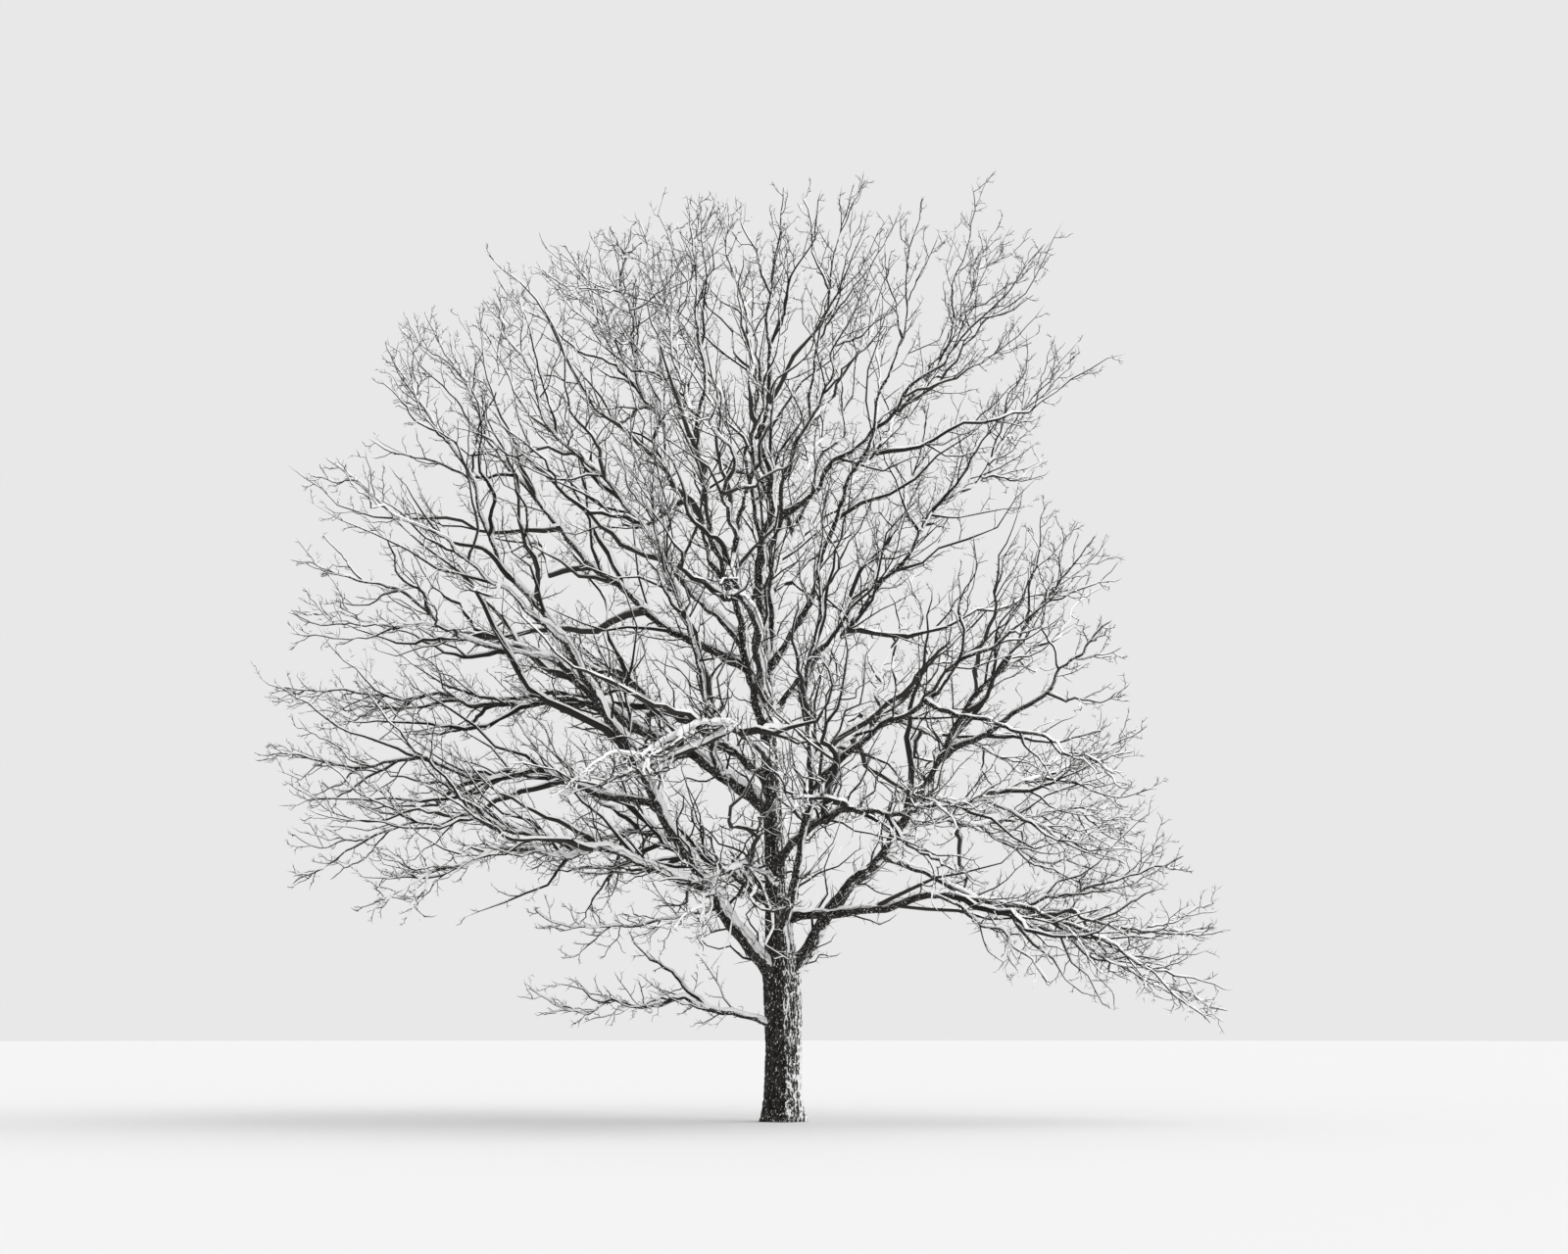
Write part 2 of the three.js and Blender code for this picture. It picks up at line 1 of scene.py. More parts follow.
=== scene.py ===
"""A bare, open-grown broadleaf tree in falling-snow weather, dressed for its photograph.

The trunk and boughs get bark with real relief. Each mass of twigs is grown again by the rule of the part's
source, from the same limbs and seeds, and carried on to finer twigs. Snow lies on what is flat enough to hold
it and is blown against the bark from the right. Metres, +Z up, -Y towards the viewer.
"""
import math

import bpy
import numpy as np
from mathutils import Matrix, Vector
from numpy.linalg import norm


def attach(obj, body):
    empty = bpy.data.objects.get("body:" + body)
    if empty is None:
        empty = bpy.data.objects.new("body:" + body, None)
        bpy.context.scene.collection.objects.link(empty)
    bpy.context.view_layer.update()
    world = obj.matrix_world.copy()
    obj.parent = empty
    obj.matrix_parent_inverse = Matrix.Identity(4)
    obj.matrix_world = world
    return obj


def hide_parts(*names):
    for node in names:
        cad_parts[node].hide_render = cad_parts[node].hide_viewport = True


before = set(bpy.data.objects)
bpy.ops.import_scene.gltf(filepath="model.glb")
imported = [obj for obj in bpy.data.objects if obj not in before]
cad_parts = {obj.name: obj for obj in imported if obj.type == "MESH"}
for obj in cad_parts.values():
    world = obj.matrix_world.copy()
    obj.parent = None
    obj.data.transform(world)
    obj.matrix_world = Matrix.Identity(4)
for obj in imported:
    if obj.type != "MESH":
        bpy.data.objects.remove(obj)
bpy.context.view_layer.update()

# The tree's lines, as in the part's source

GOLDEN_ANGLE = 2.39996
TINY = 1e-9
RIGHT, BACK, UP = np.eye(3)
LOW_BITS = 0xFFFFFFFF

# Height of a trunk section, lean of its middle to the right, radius.
TRUNK = np.array([
    [0.00, -0.03, 0.400], [0.15, -0.03, 0.365], [0.45, -0.02, 0.330], [1.20, -0.01, 0.312],
    [1.90, -0.02, 0.325], [2.35, -0.04, 0.335], [2.90, -0.07, 0.265], [3.70, -0.11, 0.220],
    [4.90, -0.17, 0.185], [6.70, -0.27, 0.150], [7.90, -0.37, 0.120], [9.30, -0.40, 0.095],
])
TRUNK_TOP = TRUNK[-1, 0]
FLARE_LOBES, FLARE_DEPTH, FLARE_HEIGHT, FLARE_TURN = 5, 0.1, 0.26, 0.6

# Name, carrier, place on it (height, or share of it), tip, stand-off of the middle, root radius, bough's
# share, and the shares of its forks and of its finer wood that grow: the crown is airier at the right,
# fuller low down. A bough's share of 0 starts the twigs at the root, and a limb with none grows out of
# its carrier's twigs.
LIMBS = [
    ("low_left", "trunk", 1.62, (-4.05, -1.0, 1.75), (-0.1, 0, 0.3), 0.055, 0, 0.4, 1),
    ("left_main", "trunk", 2.27, (-6.9, -1.5, 13.3), (-0.1, -0.05, -0.05), 0.125, 0.46, 0.85, 0.45),
    ("left_low_out", "left_main", 0.16, (-6.65, -3.4, 3.4), (-0.25, 0.05, 0.8), 0.075, 0.33, 1, 1),
    ("left_sweep", "left_low_out", 0.36, (-8.2, -1.6, 3.9), (0.05, -0.35, 0.75), 0.045, None, 1, 0.5),
    ("left_mid", "left_main", 0.29, (-9.65, 2.2, 6.5), (0.1, 0.15, 0.2), 0.065, 0.4, 1, 0.45),
    ("left_broad", "trunk", 5.26, (-8.95, 1.2, 9.95), (0.4, 0, 0.3), 0.12, 0.34, 0.7, 0.4),
    ("left_level", "left_broad", 0.38, (-9.55, 3.2, 7.9), (0.05, 0.35, -0.05), 0.055, None, 1, 0.7),
    ("left_riser", "left_broad", 0.12, (-2.5, -4.5, 11.3), (0.15, -0.3, -0.5), 0.06, 0.4, 1, 1),
    ("left_outer", "left_main", 0.54, (-7.4, -4.2, 10.6), (0.3, -0.05, -0.1), 0.05, None, 0.65, 0.3),
    ("leader_left", "trunk", 6.72, (-1.6, -2.9, 15.45), (-0.3, -0.1, -0.35), 0.105, 0.42, 0.75, 0.65),
    ("left_high", "leader_left", 0.13, (-6.9, 3.0, 15.1), (-0.55, 0.25, -0.7), 0.08, 0.42, 0.85, 0.55),
    ("left_upper", "leader_left", 0.18, (-4.8, -3.6, 13.45), (-0.45, 0, -0.1), 0.065, 0.42, 1, 0.5),
    ("left_crest", "leader_left", 0.3, (-4.2, 3.1, 16.45), (0.25, 0.5, -0.3), 0.065, 0.4, 1, 0.45),
    ("leader_mid", "trunk", 7.0, (-1.05, 1.8, 16.9), (0.05, 0.3, 0), 0.085, 0.42, 0.55, 0.5),
    ("leader_centre", "trunk", 9.3, (-0.05, -2.0, 15.9), (0, 0, -0.1), 0.09, 0, 0.6, 0.55),
    ("leader_right", "trunk", 7.11, (1.3, 0.4, 16.8), (-0.4, 0.2, -0.5), 0.09, 0.38, 0.55, 0.3),
    ("right_rise", "leader_right", 0.41, (4.45, -2.2, 14.8), (-0.4, 0.1, -0.55), 0.055, None, 0.5, 0.5),
    ("right_tall", "trunk", 7.66, (2.45, -2.2, 15.65), (0.1, 0.2, -0.85), 0.08, 0.36, 0.55, 0.5),
    ("right_crest", "right_tall", 0.5, (4.15, 2.6, 16.8), (-0.15, 0.6, -0.8), 0.048, None, 0.6, 0.7),
    ("right_high", "trunk", 6.89, (5.6, 2.8, 14.25), (-0.45, -0.2, -0.5), 0.075, 0.42, 1, 0.75),
    ("right_main", "trunk", 2.25, (5.35, -1.0, 10.0), (0.1, -0.1, 0.2), 0.135, 0.45, 1, 0.5),
    ("right_fork", "right_main", 0.48, (5.3, -3.8, 8.05), (0.05, -0.2, -0.15), 0.055, None, 0.7, 0.4),
    ("right_out", "right_main", 0.39, (6.45, 1.8, 7.0), (-0.05, -0.05, -0.4), 0.055, 0.26, 1, 1),
    ("right_low_out", "right_main", 0.34, (6.8, 4.2, 5.3), (-0.1, 0.1, 0.2), 0.05, 0.32, 1, 1),
    ("droop_low", "trunk", 3.4, (6.85, -2.8, 1.65), (0.6, -0.2, 1.0), 0.075, 0.28, 0.4, 1),
    ("droop_high", "right_main", 0.28, (7.55, 0.8, 3.3), (0.25, 0.2, -0.4), 0.06, 0.25, 0.45, 1),
    ("droop_mid", "droop_high", 0.28, (7.5, -0.8, 1.9), (0.15, 0.35, -0.15), 0.04, None, 0.35, 0.7),
    ("right_long", "droop_high", 0.35, (6.85, -0.6, 4.45), (0.1, 0.4, -0.05), 0.03, None, 0.6, 1),
    ("right_stem", "trunk", 2.65, (0.75, -5.2, 10.35), (0.05, -0.4, 0.05), 0.095, 0.5, 0.8, 0.6),
    ("right_sweep", "right_stem", 0.37, (4.45, -4.6, 8.45), (0, 0.05, 0.05), 0.06, 0.4, 0.85, 0.4),
    ("right_cross", "right_sweep", 0.45, (5.05, -5.8, 5.35), (0.05, -0.45, 0), 0.04, None, 0.75, 0.3),
    ("front_left", "trunk", 6.2, (-3.4, -7.4, 4.85), (0.25, -0.2, 0.7), 0.08, 0.4, 0.75, 0.35),
    ("front_low", "trunk", 3.99, (-1.6, -6.4, 3.0), (0, 0, 0.55), 0.06, 0.4, 0.7, 1),
    ("front_right", "trunk", 4.41, (2.6, -7.4, 4.35), (0.1, -0.2, 0.7), 0.075, 0.4, 0.8, 1),
    ("front_high", "trunk", 7.15, (-1.1, -7.2, 11.1), (-0.05, -0.3, 0.4), 0.085, 0.4, 0.5, 0.5),
    ("front_rise", "front_high", 0.44, (0, -4.8, 13.55), (0.05, -0.45, -0.15), 0.05, None, 0.4, 0.35),
    ("back_left", "trunk", 5.77, (-6.0, 7.0, 9.45), (0.2, 0.4, 0.4), 0.095, 0.4, 0.85, 0.7),
    ("back_right", "trunk", 4.92, (3.8, 7.2, 9.45), (-0.15, 0.2, 0.35), 0.095, 0.36, 1, 0.35),
    ("back_low_left", "trunk", 3.65, (-5.1, 6.8, 4.85), (0.15, 0, 0.95), 0.08, 0.4, 1, 0.8),
    ("back_low_right", "back_right", 0.48, (5.45, 7.0, 6.25), (0.05, 0.05, 0.3), 0.05, None, 1, 0.3),
    ("back_high", "trunk", 8.19, (0.8, 7.4, 14.65), (0, 0.3, -0.15), 0.085, 0.4, 0.55, 0.5),
    ("back_rise", "back_high", 0.44, (-2.15, 5.0, 15.65), (-0.05, 0.3, 0.1), 0.05, None, 0.6, 0.4),
    ("left_inner", "left_main", 0.13, (-4.25, -0.9, 3.55), (-0.45, 0, -0.3), 0.026, 0, 0.5, 1),
    ("left_peak", "left_crest", 0.6, (-2.9, -2.9, 14.9), (0, -0.2, 0.15), 0.024, None, 1, 0.7),
    ("left_crown", "leader_left", 0.55, (-2.65, 1.4, 16.45), (0, 0.2, -0.05), 0.032, None, 0.9, 0.7),
    ("left_edge", "left_broad", 0.49, (-8.15, -2.2, 8.45), (-0.2, -0.4, 0.15), 0.042, None, 0.6, 0.4),
    ("centre_right", "leader_right", 0.48, (1.5, -3.9, 14.05), (0, -0.2, -0.15), 0.034, None, 0.4, 0.2),
    ("droop_under", "droop_low", 0.3, (4.15, -3.6, 2.3), (0.2, -0.1, 0.1), 0.026, None, 0.35, 1),
    ("droop_twin", "droop_low", 0.41, (6.95, -1.0, 1.85), (-0.05, -0.2, 0.1), 0.036, None, 0.35, 0.6),
    ("right_arc", "right_out", 0.28, (5.85, -0.6, 4.35), (0.1, 0.3, -0.1), 0.028, None, 0.5, 1),
    ("right_arc_low", "right_low_out", 0.34, (6.15, 2.4, 4.35), (-0.2, 0.35, -0.1), 0.026, None, 0.6, 1),
    ("back_crest", "back_high", 0.46, (1.55, 3.9, 15.9), (0.3, -0.3, -0.2), 0.036, None, 0.5, 0.25),
]
LIMB_PIECES = 10
LIMB_SHARES = np.linspace(0, 1, LIMB_PIECES + 1)
LIMB_WANDER, LIMB_TIP, LIMB_TAPER = 0.042, 0.009, 1.08

CROWN_CENTRE = np.array([-0.4, 0.0, 5.0])
REACH_MARGIN = 0.12
LOWEST_TWIG = 1.45
# A fork's end may be this many times as far from its limb as from the next, and the fork keeps this gap
# from wood.
SPACE_SHARE, AIR = 1.9, 0.015
# Forks and sprays longer than these have solids.
SOLID_FORK, SOLID_SPRAY = 1.2, 1.1
# How far a bough's last corner and the first solid fork keep from the bough's end.
BOUGH_GAP = 0.02

# Rules of the side shoots. The forks' and the sprays' are the source's, and the scene alone has the rest.
# along: first and last share of the parent that carries shoots, and their spacing. length: of each, more
# for each metre of the parent's rest, least and most. under: how much less below. pull: up and outward.
# bends: pieces and zigzag. radius: share of the parent's, share of the shoot's own length, tip and taper.
FORKS = dict(
    order=1, along=(0.2, 0.93, 0.52), angle=(18, 48), length=(0.3, 0.88, 0.3, 5.5), vary=(0.62, 1.1),
    under=0.22, pull=(0.1, 0.1), bends=(4, 0.045), radius=(0.76, 0.0125, 0.006, 0.95))
SPRAYS = dict(
    order=2, along=(0.12, 0.985, 0.23), angle=(32, 62), length=(0.34, 0.2, 0.12, 1.5), vary=(0.5, 1.2),
    under=0.35, pull=(0.22, 0.1), bends=(3, 0.05), radius=(0.62, 0.0075, 0.0038, 1))
# Branches between the forks and the sprays, and sprays on these.
BRANCHES = dict(
    order=6, along=(0.15, 0.95, 0.46), angle=(18, 52), length=(0.32, 0.7, 0.35, 3.0), vary=(0.4, 1.1),
    under=0.25, pull=(0.1, 0.12), bends=(3, 0.06), radius=(0.62, 0.009, 0.0045, 1.1))
SIDE_SPRAYS = dict(
    order=2, along=(0.14, 0.98, 0.21), angle=(35, 68), length=(0.26, 0.2, 0.1, 0.9), vary=(0.45, 1.25),
    under=0.25, pull=(0.14, 0.06), bends=(3, 0.08), radius=(0.65, 0.008, 0.0036, 1))
TWIGS = dict(
    order=3, along=(0.12, 0.99, 0.125), angle=(38, 72), length=(0.12, 0.26, 0.05, 0.6), vary=(0.45, 1.25),
    under=0.15, pull=(0.1, 0.03), bends=(2, 0.14), radius=(0.8, 0.009, 0.0034, 1))
SIDE_TWIGS = dict(
    order=3, along=(0.15, 0.99, 0.13), angle=(38, 75), length=(0.1, 0.25, 0.05, 0.4), vary=(0.45, 1.3),
    under=0.1, pull=(0.08, 0), bends=(1, 0), radius=(0.8, 0.01, 0.0034, 1))
TIPS = dict(
    order=4, along=(0.3, 0.99, 0.1), angle=(38, 66), length=(0.085, 0.2, 0.04, 0.2), vary=(0.5, 1.3),
    under=0.1, pull=(0.06, 0), bends=(1, 0), radius=(0.85, 0.009, 0.003, 1))
# Short shoots straight out of the old wood of the boughs and the upper trunk.
SPROUTS = dict(
    order=5, along=(0, 1, 0.12), angle=(45, 85), length=(0.42, 0, 0.1, 0.6), vary=(0.3, 1.3),
    under=0.2, pull=(0.06, 0.08), bends=(3, 0.16), radius=(0.1, 0.008, 0.0036, 1))
TRUNK_SPROUTS = dict(SPROUTS, along=(0, 1, 0.05))
SPROUT_FROM = 2.6
# Snow-laden shoots that hang, hooked up at their ends, from the lowest limbs on the right and in front.
HANGERS = dict(
    order=7, along=(0.22, 0.88, 0.7), angle=(35, 80), length=(0.7, 0.12, 0.3, 1.5), vary=(0.45, 1.3),
    under=-0.3, pull=(-0.5, 0.05), bends=(4, 0.04), radius=(0.6, 0.009, 0.0045, 1))
HUNG_WITH = ["droop_low", "droop_high", "droop_mid", "droop_twin", "droop_under", "front_left", "front_low",
             "front_right", "right_long"]
HOOK, HOOK_BEND = 0.22, 5
# Crooked young shoots that rise out of the old wood deep in the crown.
RISERS = dict(
    order=8, along=(0.03, 0.5, 0.28), angle=(30, 70), length=(0.75, 0.08, 0.25, 1.7), vary=(0.4, 1.3),
    under=0.3, pull=(0.22, 0.1), bends=(4, 0.1), radius=(0.4, 0.011, 0.005, 1))
RISE_FROM = ["left_main", "left_low_out", "left_inner", "left_riser", "left_level", "left_broad", "back_left",
             "back_low_left", "front_low", "front_right", "right_low_out", "right_main", "right_stem",
             "leader_left"]
# For every rule: play of place and turn, how much height counts in what is outward, girth of the shortest
# and least one in tip radii, and how much wider a zigzag swings upward than sideways and its share at the
# tip.
SHARE_PLAY, TURN_PLAY = 0.6, 1.2
OUTWARD_RISE = 0.5
LEAST_GIRTH, LEAST_TAPER = 0.003, 1.2
ZIGZAG_RISE, ZIGZAG_TIP = 1.5, 0.5

# Channels of chance, one for each property of a line, and where the seeds of limbs and the rest begin.
SIDEWAYS, UPWARD = 1, 2
PLACE, TURN, ANGLE, LENGTH, KEEP, FIRST_TURN = 1, 2, 3, 4, 5, 9
BOW, TINT, PATCH, THIN, WAVE_TURNS, WAVE_START = 6, 11, 12, 13, 21, 23
LIMB_SEEDS, ORDER_SEEDS, CORNER_SEEDS, KNEE_SEEDS = 1000, 1000, 500, 3000
# What mixes the bits of seeds, as in the source, and of the cells of a noise.
MIX_SEED, MIX_CHANNEL = np.uint64(2654435761), np.uint64(2246822519)
MIXES = [(np.uint64(15), np.uint64(739982445)), (np.uint64(12), np.uint64(695872825))]
NEXT_SEED, NEXT_INDEX, NEXT_START = np.uint64(747796405), np.uint64(2891336453), np.uint64(12345)
MIX_CELL, MIX_NOISE = np.array([73856093, 19349663, 83492791]), 7919
# A seed for each noise: plates, small plates, grain, lumps, snow left by the squall, snow blown, a cap's
# two edges.
PLATES, SMALL_PLATES, GRAINS, LUMPS, LEFT, BLOWN, EDGES = 1, 2, 3, 4, 7, 8, (15, 16)


def chance(seed, channel):
    """An even value from 0 to 1 for each whole-number seed and channel."""
    x = (np.asarray(seed, np.uint64) * MIX_SEED + np.uint64(channel) * MIX_CHANNEL) & np.uint64(LOW_BITS)
    for shift, mix in MIXES:
        x = ((x ^ (x >> shift)) * mix) & np.uint64(LOW_BITS)
    return (x ^ (x >> MIXES[0][0])).astype(float) / 2.0 ** 32


def seed_of(seed, index):
    """The seed of one of the things that belong to a seed, by its number."""
    seed, index = np.asarray(seed, np.uint64), np.asarray(index, np.uint64)
    return (seed * NEXT_SEED + index * NEXT_INDEX + NEXT_START) & np.uint64(LOW_BITS)


def unit(v):
    return v / np.maximum(norm(v, axis=-1, keepdims=True), TINY)


def smoothstep(low, high, x):
    t = np.clip((x - low) / (high - low), 0, 1)
    return t * t * (3 - 2 * t)


def across(direction):
    """Level sideways and upward directions across some lines."""
    side = unit(np.cross(direction, UP) + TINY)
    return side, np.cross(side, direction)


def along(points, radii, which, share):
    """Place, direction and radius at a share of each chosen bent line of a level."""
    pieces = points.shape[1] - 1
    piece = np.minimum((share * pieces).astype(int), pieces - 1)
    rest = share * pieces - piece
    a, b = points[which, piece], points[which, piece + 1]
    radius = radii[which, piece] * (1 - rest) + radii[which, piece + 1] * rest
    return a * (1 - rest[:, None]) + b * rest[:, None], unit(b - a), radius


def one_along(line, share, points="points", radii="radii"):
    """The place at a share of a limb."""
    return along(line[points][None], line[radii][None], np.array([0]), np.array([share]))[0][0]


def trunk_middle(height):
    x = np.interp(height, TRUNK[:, 0], TRUNK[:, 1])
    return np.stack([x, np.zeros_like(x), np.asarray(height, float)], -1)


def trunk_radius(height):
    return np.interp(height, TRUNK[:, 0], TRUNK[:, 2])


def limb_line(limb, lines):
    """The bent line of a limb from its row in the table, and what else is known of it."""
    name, on, at, tip, bow, girth, bough, full, fine = LIMBS[limb]
    root = trunk_middle(at) if on == "trunk" else one_along(lines[on], at)
    tip = np.array(tip, float)
    control = (root + tip) / 2 + 2 * np.array(bow, float)
    share = LIMB_SHARES[:, None]
    plain = root * (1 - share) ** 2 + 2 * control * share * (1 - share) + tip * share * share
    length = norm(np.diff(plain, axis=0), axis=1).sum()
    seed = seed_of(LIMB_SEEDS + limb, 0)
    direction = unit((control - root) * (1 - share) + (tip - control) * share)
    side, top = across(direction)
    sway = LIMB_WANDER * length * np.sqrt(np.maximum(0, np.sin(np.pi * share)))
    own = seed_of(seed, np.arange(LIMB_PIECES + 1))
    points = plain + sway * (chance(own, SIDEWAYS) - 0.5)[:, None] * side
    points = points + sway * (chance(own, UPWARD) - 0.5)[:, None] * top
    radii = LIMB_TIP + (girth - LIMB_TIP) * (1 - share[:, 0]) ** LIMB_TAPER
    reach = norm(tip - CROWN_CENTRE) + REACH_MARGIN
    return dict(name=name, on=on, at=at, girth=girth, bough=bough, full=full, fine=fine, points=points,
                radii=radii, length=length, seed=seed, reach=reach, limb=limb)


def all_limbs():
    """The limbs by name, each after the one that carries it."""
    lines = {}
    for limb in range(len(LIMBS)):
        line = limb_line(limb, lines)
        lines[line["name"]] = line
    return lines


def shoots(parents, rule):
    """The side shoots of every parent line of a level, by one rule."""
    start, end, step = rule["along"]
    least_angle, most_angle = rule["angle"]
    least_luck, most_luck = rule["vary"]
    base, of_rest, shortest, longest = rule["length"]
    up, out = rule["pull"]
    pieces, zigzag = rule["bends"]
    of_parent, slim, tip, taper = rule["radius"]

    length = parents["length"]
    count = np.maximum(1, np.floor((end - start) * length / step + 0.5).astype(int))
    which = np.repeat(np.arange(len(length)), count)
    j = np.arange(len(which)) - np.repeat(np.cumsum(count) - count, count)
    seed = seed_of(parents["seed"][which], ORDER_SEEDS * rule["order"] + j)
    share = start + (end - start) * (j + 0.5 + SHARE_PLAY * (chance(seed, PLACE) - 0.5)) / count[which]
    root, direction, radius = along(parents["points"], parents["radii"], which, share)
    side, top = across(direction)
    roll = j * GOLDEN_ANGLE + TURN_PLAY * (chance(seed, TURN) - 0.5)
    roll = (roll + chance(parents["seed"][which], FIRST_TURN) * 2 * np.pi)[:, None]
    radial = np.cos(roll) * side + np.sin(roll) * top
    angle = np.radians(least_angle + (most_angle - least_angle) * chance(seed, ANGLE))[:, None]
    heading = np.cos(angle) * direction + np.sin(angle) * radial
    luck = least_luck + (most_luck - least_luck) * chance(seed, LENGTH)
    below = 1 - rule["under"] * np.maximum(0, -radial[:, 2])
    grown = np.minimum((base + of_rest * ((1 - share) * length[which])) * luck * below, longest)
    pull = up * UP + out * unit((root - CROWN_CENTRE) * [1, 1, OUTWARD_RISE])
    cross_side, cross_top = across(heading)
    t = np.linspace(0, 1, pieces + 1)
    size = grown[:, None, None]
    points = root[:, None] + size * (heading[:, None] * t[:, None] + pull[:, None] * (t * t)[:, None])
    for k in range(1, pieces + 1):
        bend = zigzag * grown * (1 if k < pieces else ZIGZAG_TIP)
        own = seed_of(seed, CORNER_SEEDS + k)
        swing = (0 if k % 2 == 0 else -1) + chance(own, SIDEWAYS)
        points[:, k] += (bend * swing)[:, None] * cross_side
        points[:, k] += (bend * ZIGZAG_RISE * (chance(own, UPWARD) - 0.5))[:, None] * cross_top
    girth = np.maximum(np.minimum(radius * of_parent, slim * grown + LEAST_GIRTH), tip * LEAST_TAPER)
    radii = tip + (girth[:, None] - tip) * (1 - t) ** taper
    limb = parents["limb"][which]
    far = norm(points[:, -1] - CROWN_CENTRE, axis=1)
    keep = (points[:, :, 2].min(axis=1) > LOWEST_TWIG) & (grown > shortest) & (far < REACH[limb])
    made = dict(points=points, radii=radii, length=grown, seed=seed, share=share, limb=limb, which=which)
    return chosen(made, keep)


def chosen(level, keep):
    return {key: value[keep] for key, value in level.items()}


def joined(levels):
    return {key: np.concatenate([level[key] for level in levels]) for key in levels[0]}


def piece_distances(a0, a1, b0, b1):
    """Least distances between straight pieces a (rows) and b (columns)."""
    a0, a1, b0, b1 = a0[:, None], a1[:, None], b0[None], b1[None]
    d1, d2, r = a1 - a0, b1 - b0, a0 - b0
    a, e = (d1 * d1).sum(-1), (d2 * d2).sum(-1)
    b, c, f = (d1 * d2).sum(-1), (d1 * r).sum(-1), (d2 * r).sum(-1)
    denominator = a * e - b * b
    s = np.where(denominator > TINY, np.clip((b * f - c * e) / np.maximum(denominator, TINY), 0, 1), 0)
    t = np.clip((b * s + f) / e, 0, 1)
    s = np.clip((b * t - c) / a, 0, 1)
    return norm(a0 + d1 * s[..., None] - b0 - d2 * t[..., None], axis=-1)


def pieces_of(lines):
    """Start, end and starting radius of every straight piece of some lines."""
    starts = [points[:-1] for points, _ in lines]
    ends = [points[1:] for points, _ in lines]
    return np.concatenate(starts), np.concatenate(ends), np.concatenate([radii[:-1] for _, radii in lines])


def touches(points, radii, pieces):
    starts, ends, thick = pieces
    gap = piece_distances(points[:-1], points[1:], starts, ends)
    return bool((gap < radii[:-1, None] + thick[None] + AIR).any())


def nearness(point, points):
    middles = (points[1:] + points[:-1]) / 2
    return min(norm(points - point, axis=1).min(), norm(middles - point, axis=1).min())


def bough_stretch(line):
    """The corners of a limb from its root to the end of its bough."""
    shares = [k / LIMB_PIECES for k in range(LIMB_PIECES) if k / LIMB_PIECES < line["bough"] - BOUGH_GAP]
    points = [line["points"][round(share * LIMB_PIECES)] for share in shares]
    points.append(one_along(line, line["bough"]))
    radii = np.interp([*shares, line["bough"]], LIMB_SHARES, line["radii"])
    return np.array(points), radii


def mass_of(line):
    return mass_of(LINES[line["on"]]) if line["bough"] is None else line


LINES = all_limbs()
ALL = list(LINES.values())
REACH = np.array([line["reach"] for line in ALL])
MASS = np.array([mass_of(line)["limb"] for line in ALL])
TRUNK_LINE = (trunk_middle(TRUNK[:, 0]), TRUNK[:, 2])


def level_of(lines, *more):
    """A level whose lines are limbs."""
    keys = ("points", "radii", "length", "seed", "limb", *more)
    return {key: np.array([line[key] for line in lines]) for key in keys}


def grow_forks():
    """Forks of every limb, with the sprays on them, that keep their space and touch nothing of another's."""
    all_forks, all_sprays, grown = [], [], []
    made_before = 0
    for line in ALL:
        others = [(other["points"], other["radii"]) for other in ALL if other is not line]
        strange = pieces_of([TRUNK_LINE] + others)
        fixed = pieces_of([TRUNK_LINE] + others + ([bough_stretch(line)] if line["bough"] else []))
        mass = MASS[line["limb"]]

        def clear(points, radii):
            strangers = [entry[1:] for entry in grown if entry[0] != mass]
            if touches(points, radii, fixed) or (strangers and touches(points, radii, pieces_of(strangers))):
                return False
            grown.append((mass, points, radii))
            return True

        def in_space(points, radii):
            next_limb = min(nearness(points[-1], other) for other, _ in others)
            near = nearness(points[-1], line["points"]) < next_limb * SPACE_SHARE
            return near and not touches(points, radii, strange)

        forks = shoots(level_of([line]), FORKS)
        forks = chosen(forks, chance(forks["seed"], KEEP) <= line["full"])
        inside = [in_space(*pair) for pair in zip(forks["points"], forks["radii"])]
        forks = chosen(forks, np.array(inside, bool))
        forks["which"] = forks["limb"]
        sprays = shoots(forks, SPRAYS)
        fork_kept = np.ones(len(forks["length"]), bool)
        spray_kept = np.ones(len(sprays["length"]), bool)
        solid = sprays["length"] > SOLID_SPRAY
        for k in range(len(fork_kept)):
            past = forks["share"][k] > (line["bough"] or 0) + BOUGH_GAP
            if past and forks["length"][k] > SOLID_FORK:
                fork_kept[k] = clear(forks["points"][k], forks["radii"][k])
                for m in np.flatnonzero((sprays["which"] == k) & solid & fork_kept[k]):
                    spray_kept[m] = clear(sprays["points"][m], sprays["radii"][m])
        spray_kept &= fork_kept[sprays["which"]]
        sprays["which"] = (np.cumsum(fork_kept) - 1)[sprays["which"]] + made_before
        all_forks.append(chosen(forks, fork_kept))
        all_sprays.append(chosen(sprays, spray_kept))
        made_before += fork_kept.sum()
    return joined(all_forks), joined(all_sprays)


# The lines as they are shown: rounded at their corners, knotty, and rooted on what carries them

# How much of a corner stays when lines are rounded, and the pieces of a limb as shown.
KINK = 0.35
LIMB_SHOWN = 240
# Spacing and sway of the knees of a limb, large and small, and the share of it over which they start.
KNEES = [(0.42, 0.05), (0.17, 0.02)]
KNEES_FROM = 0.05
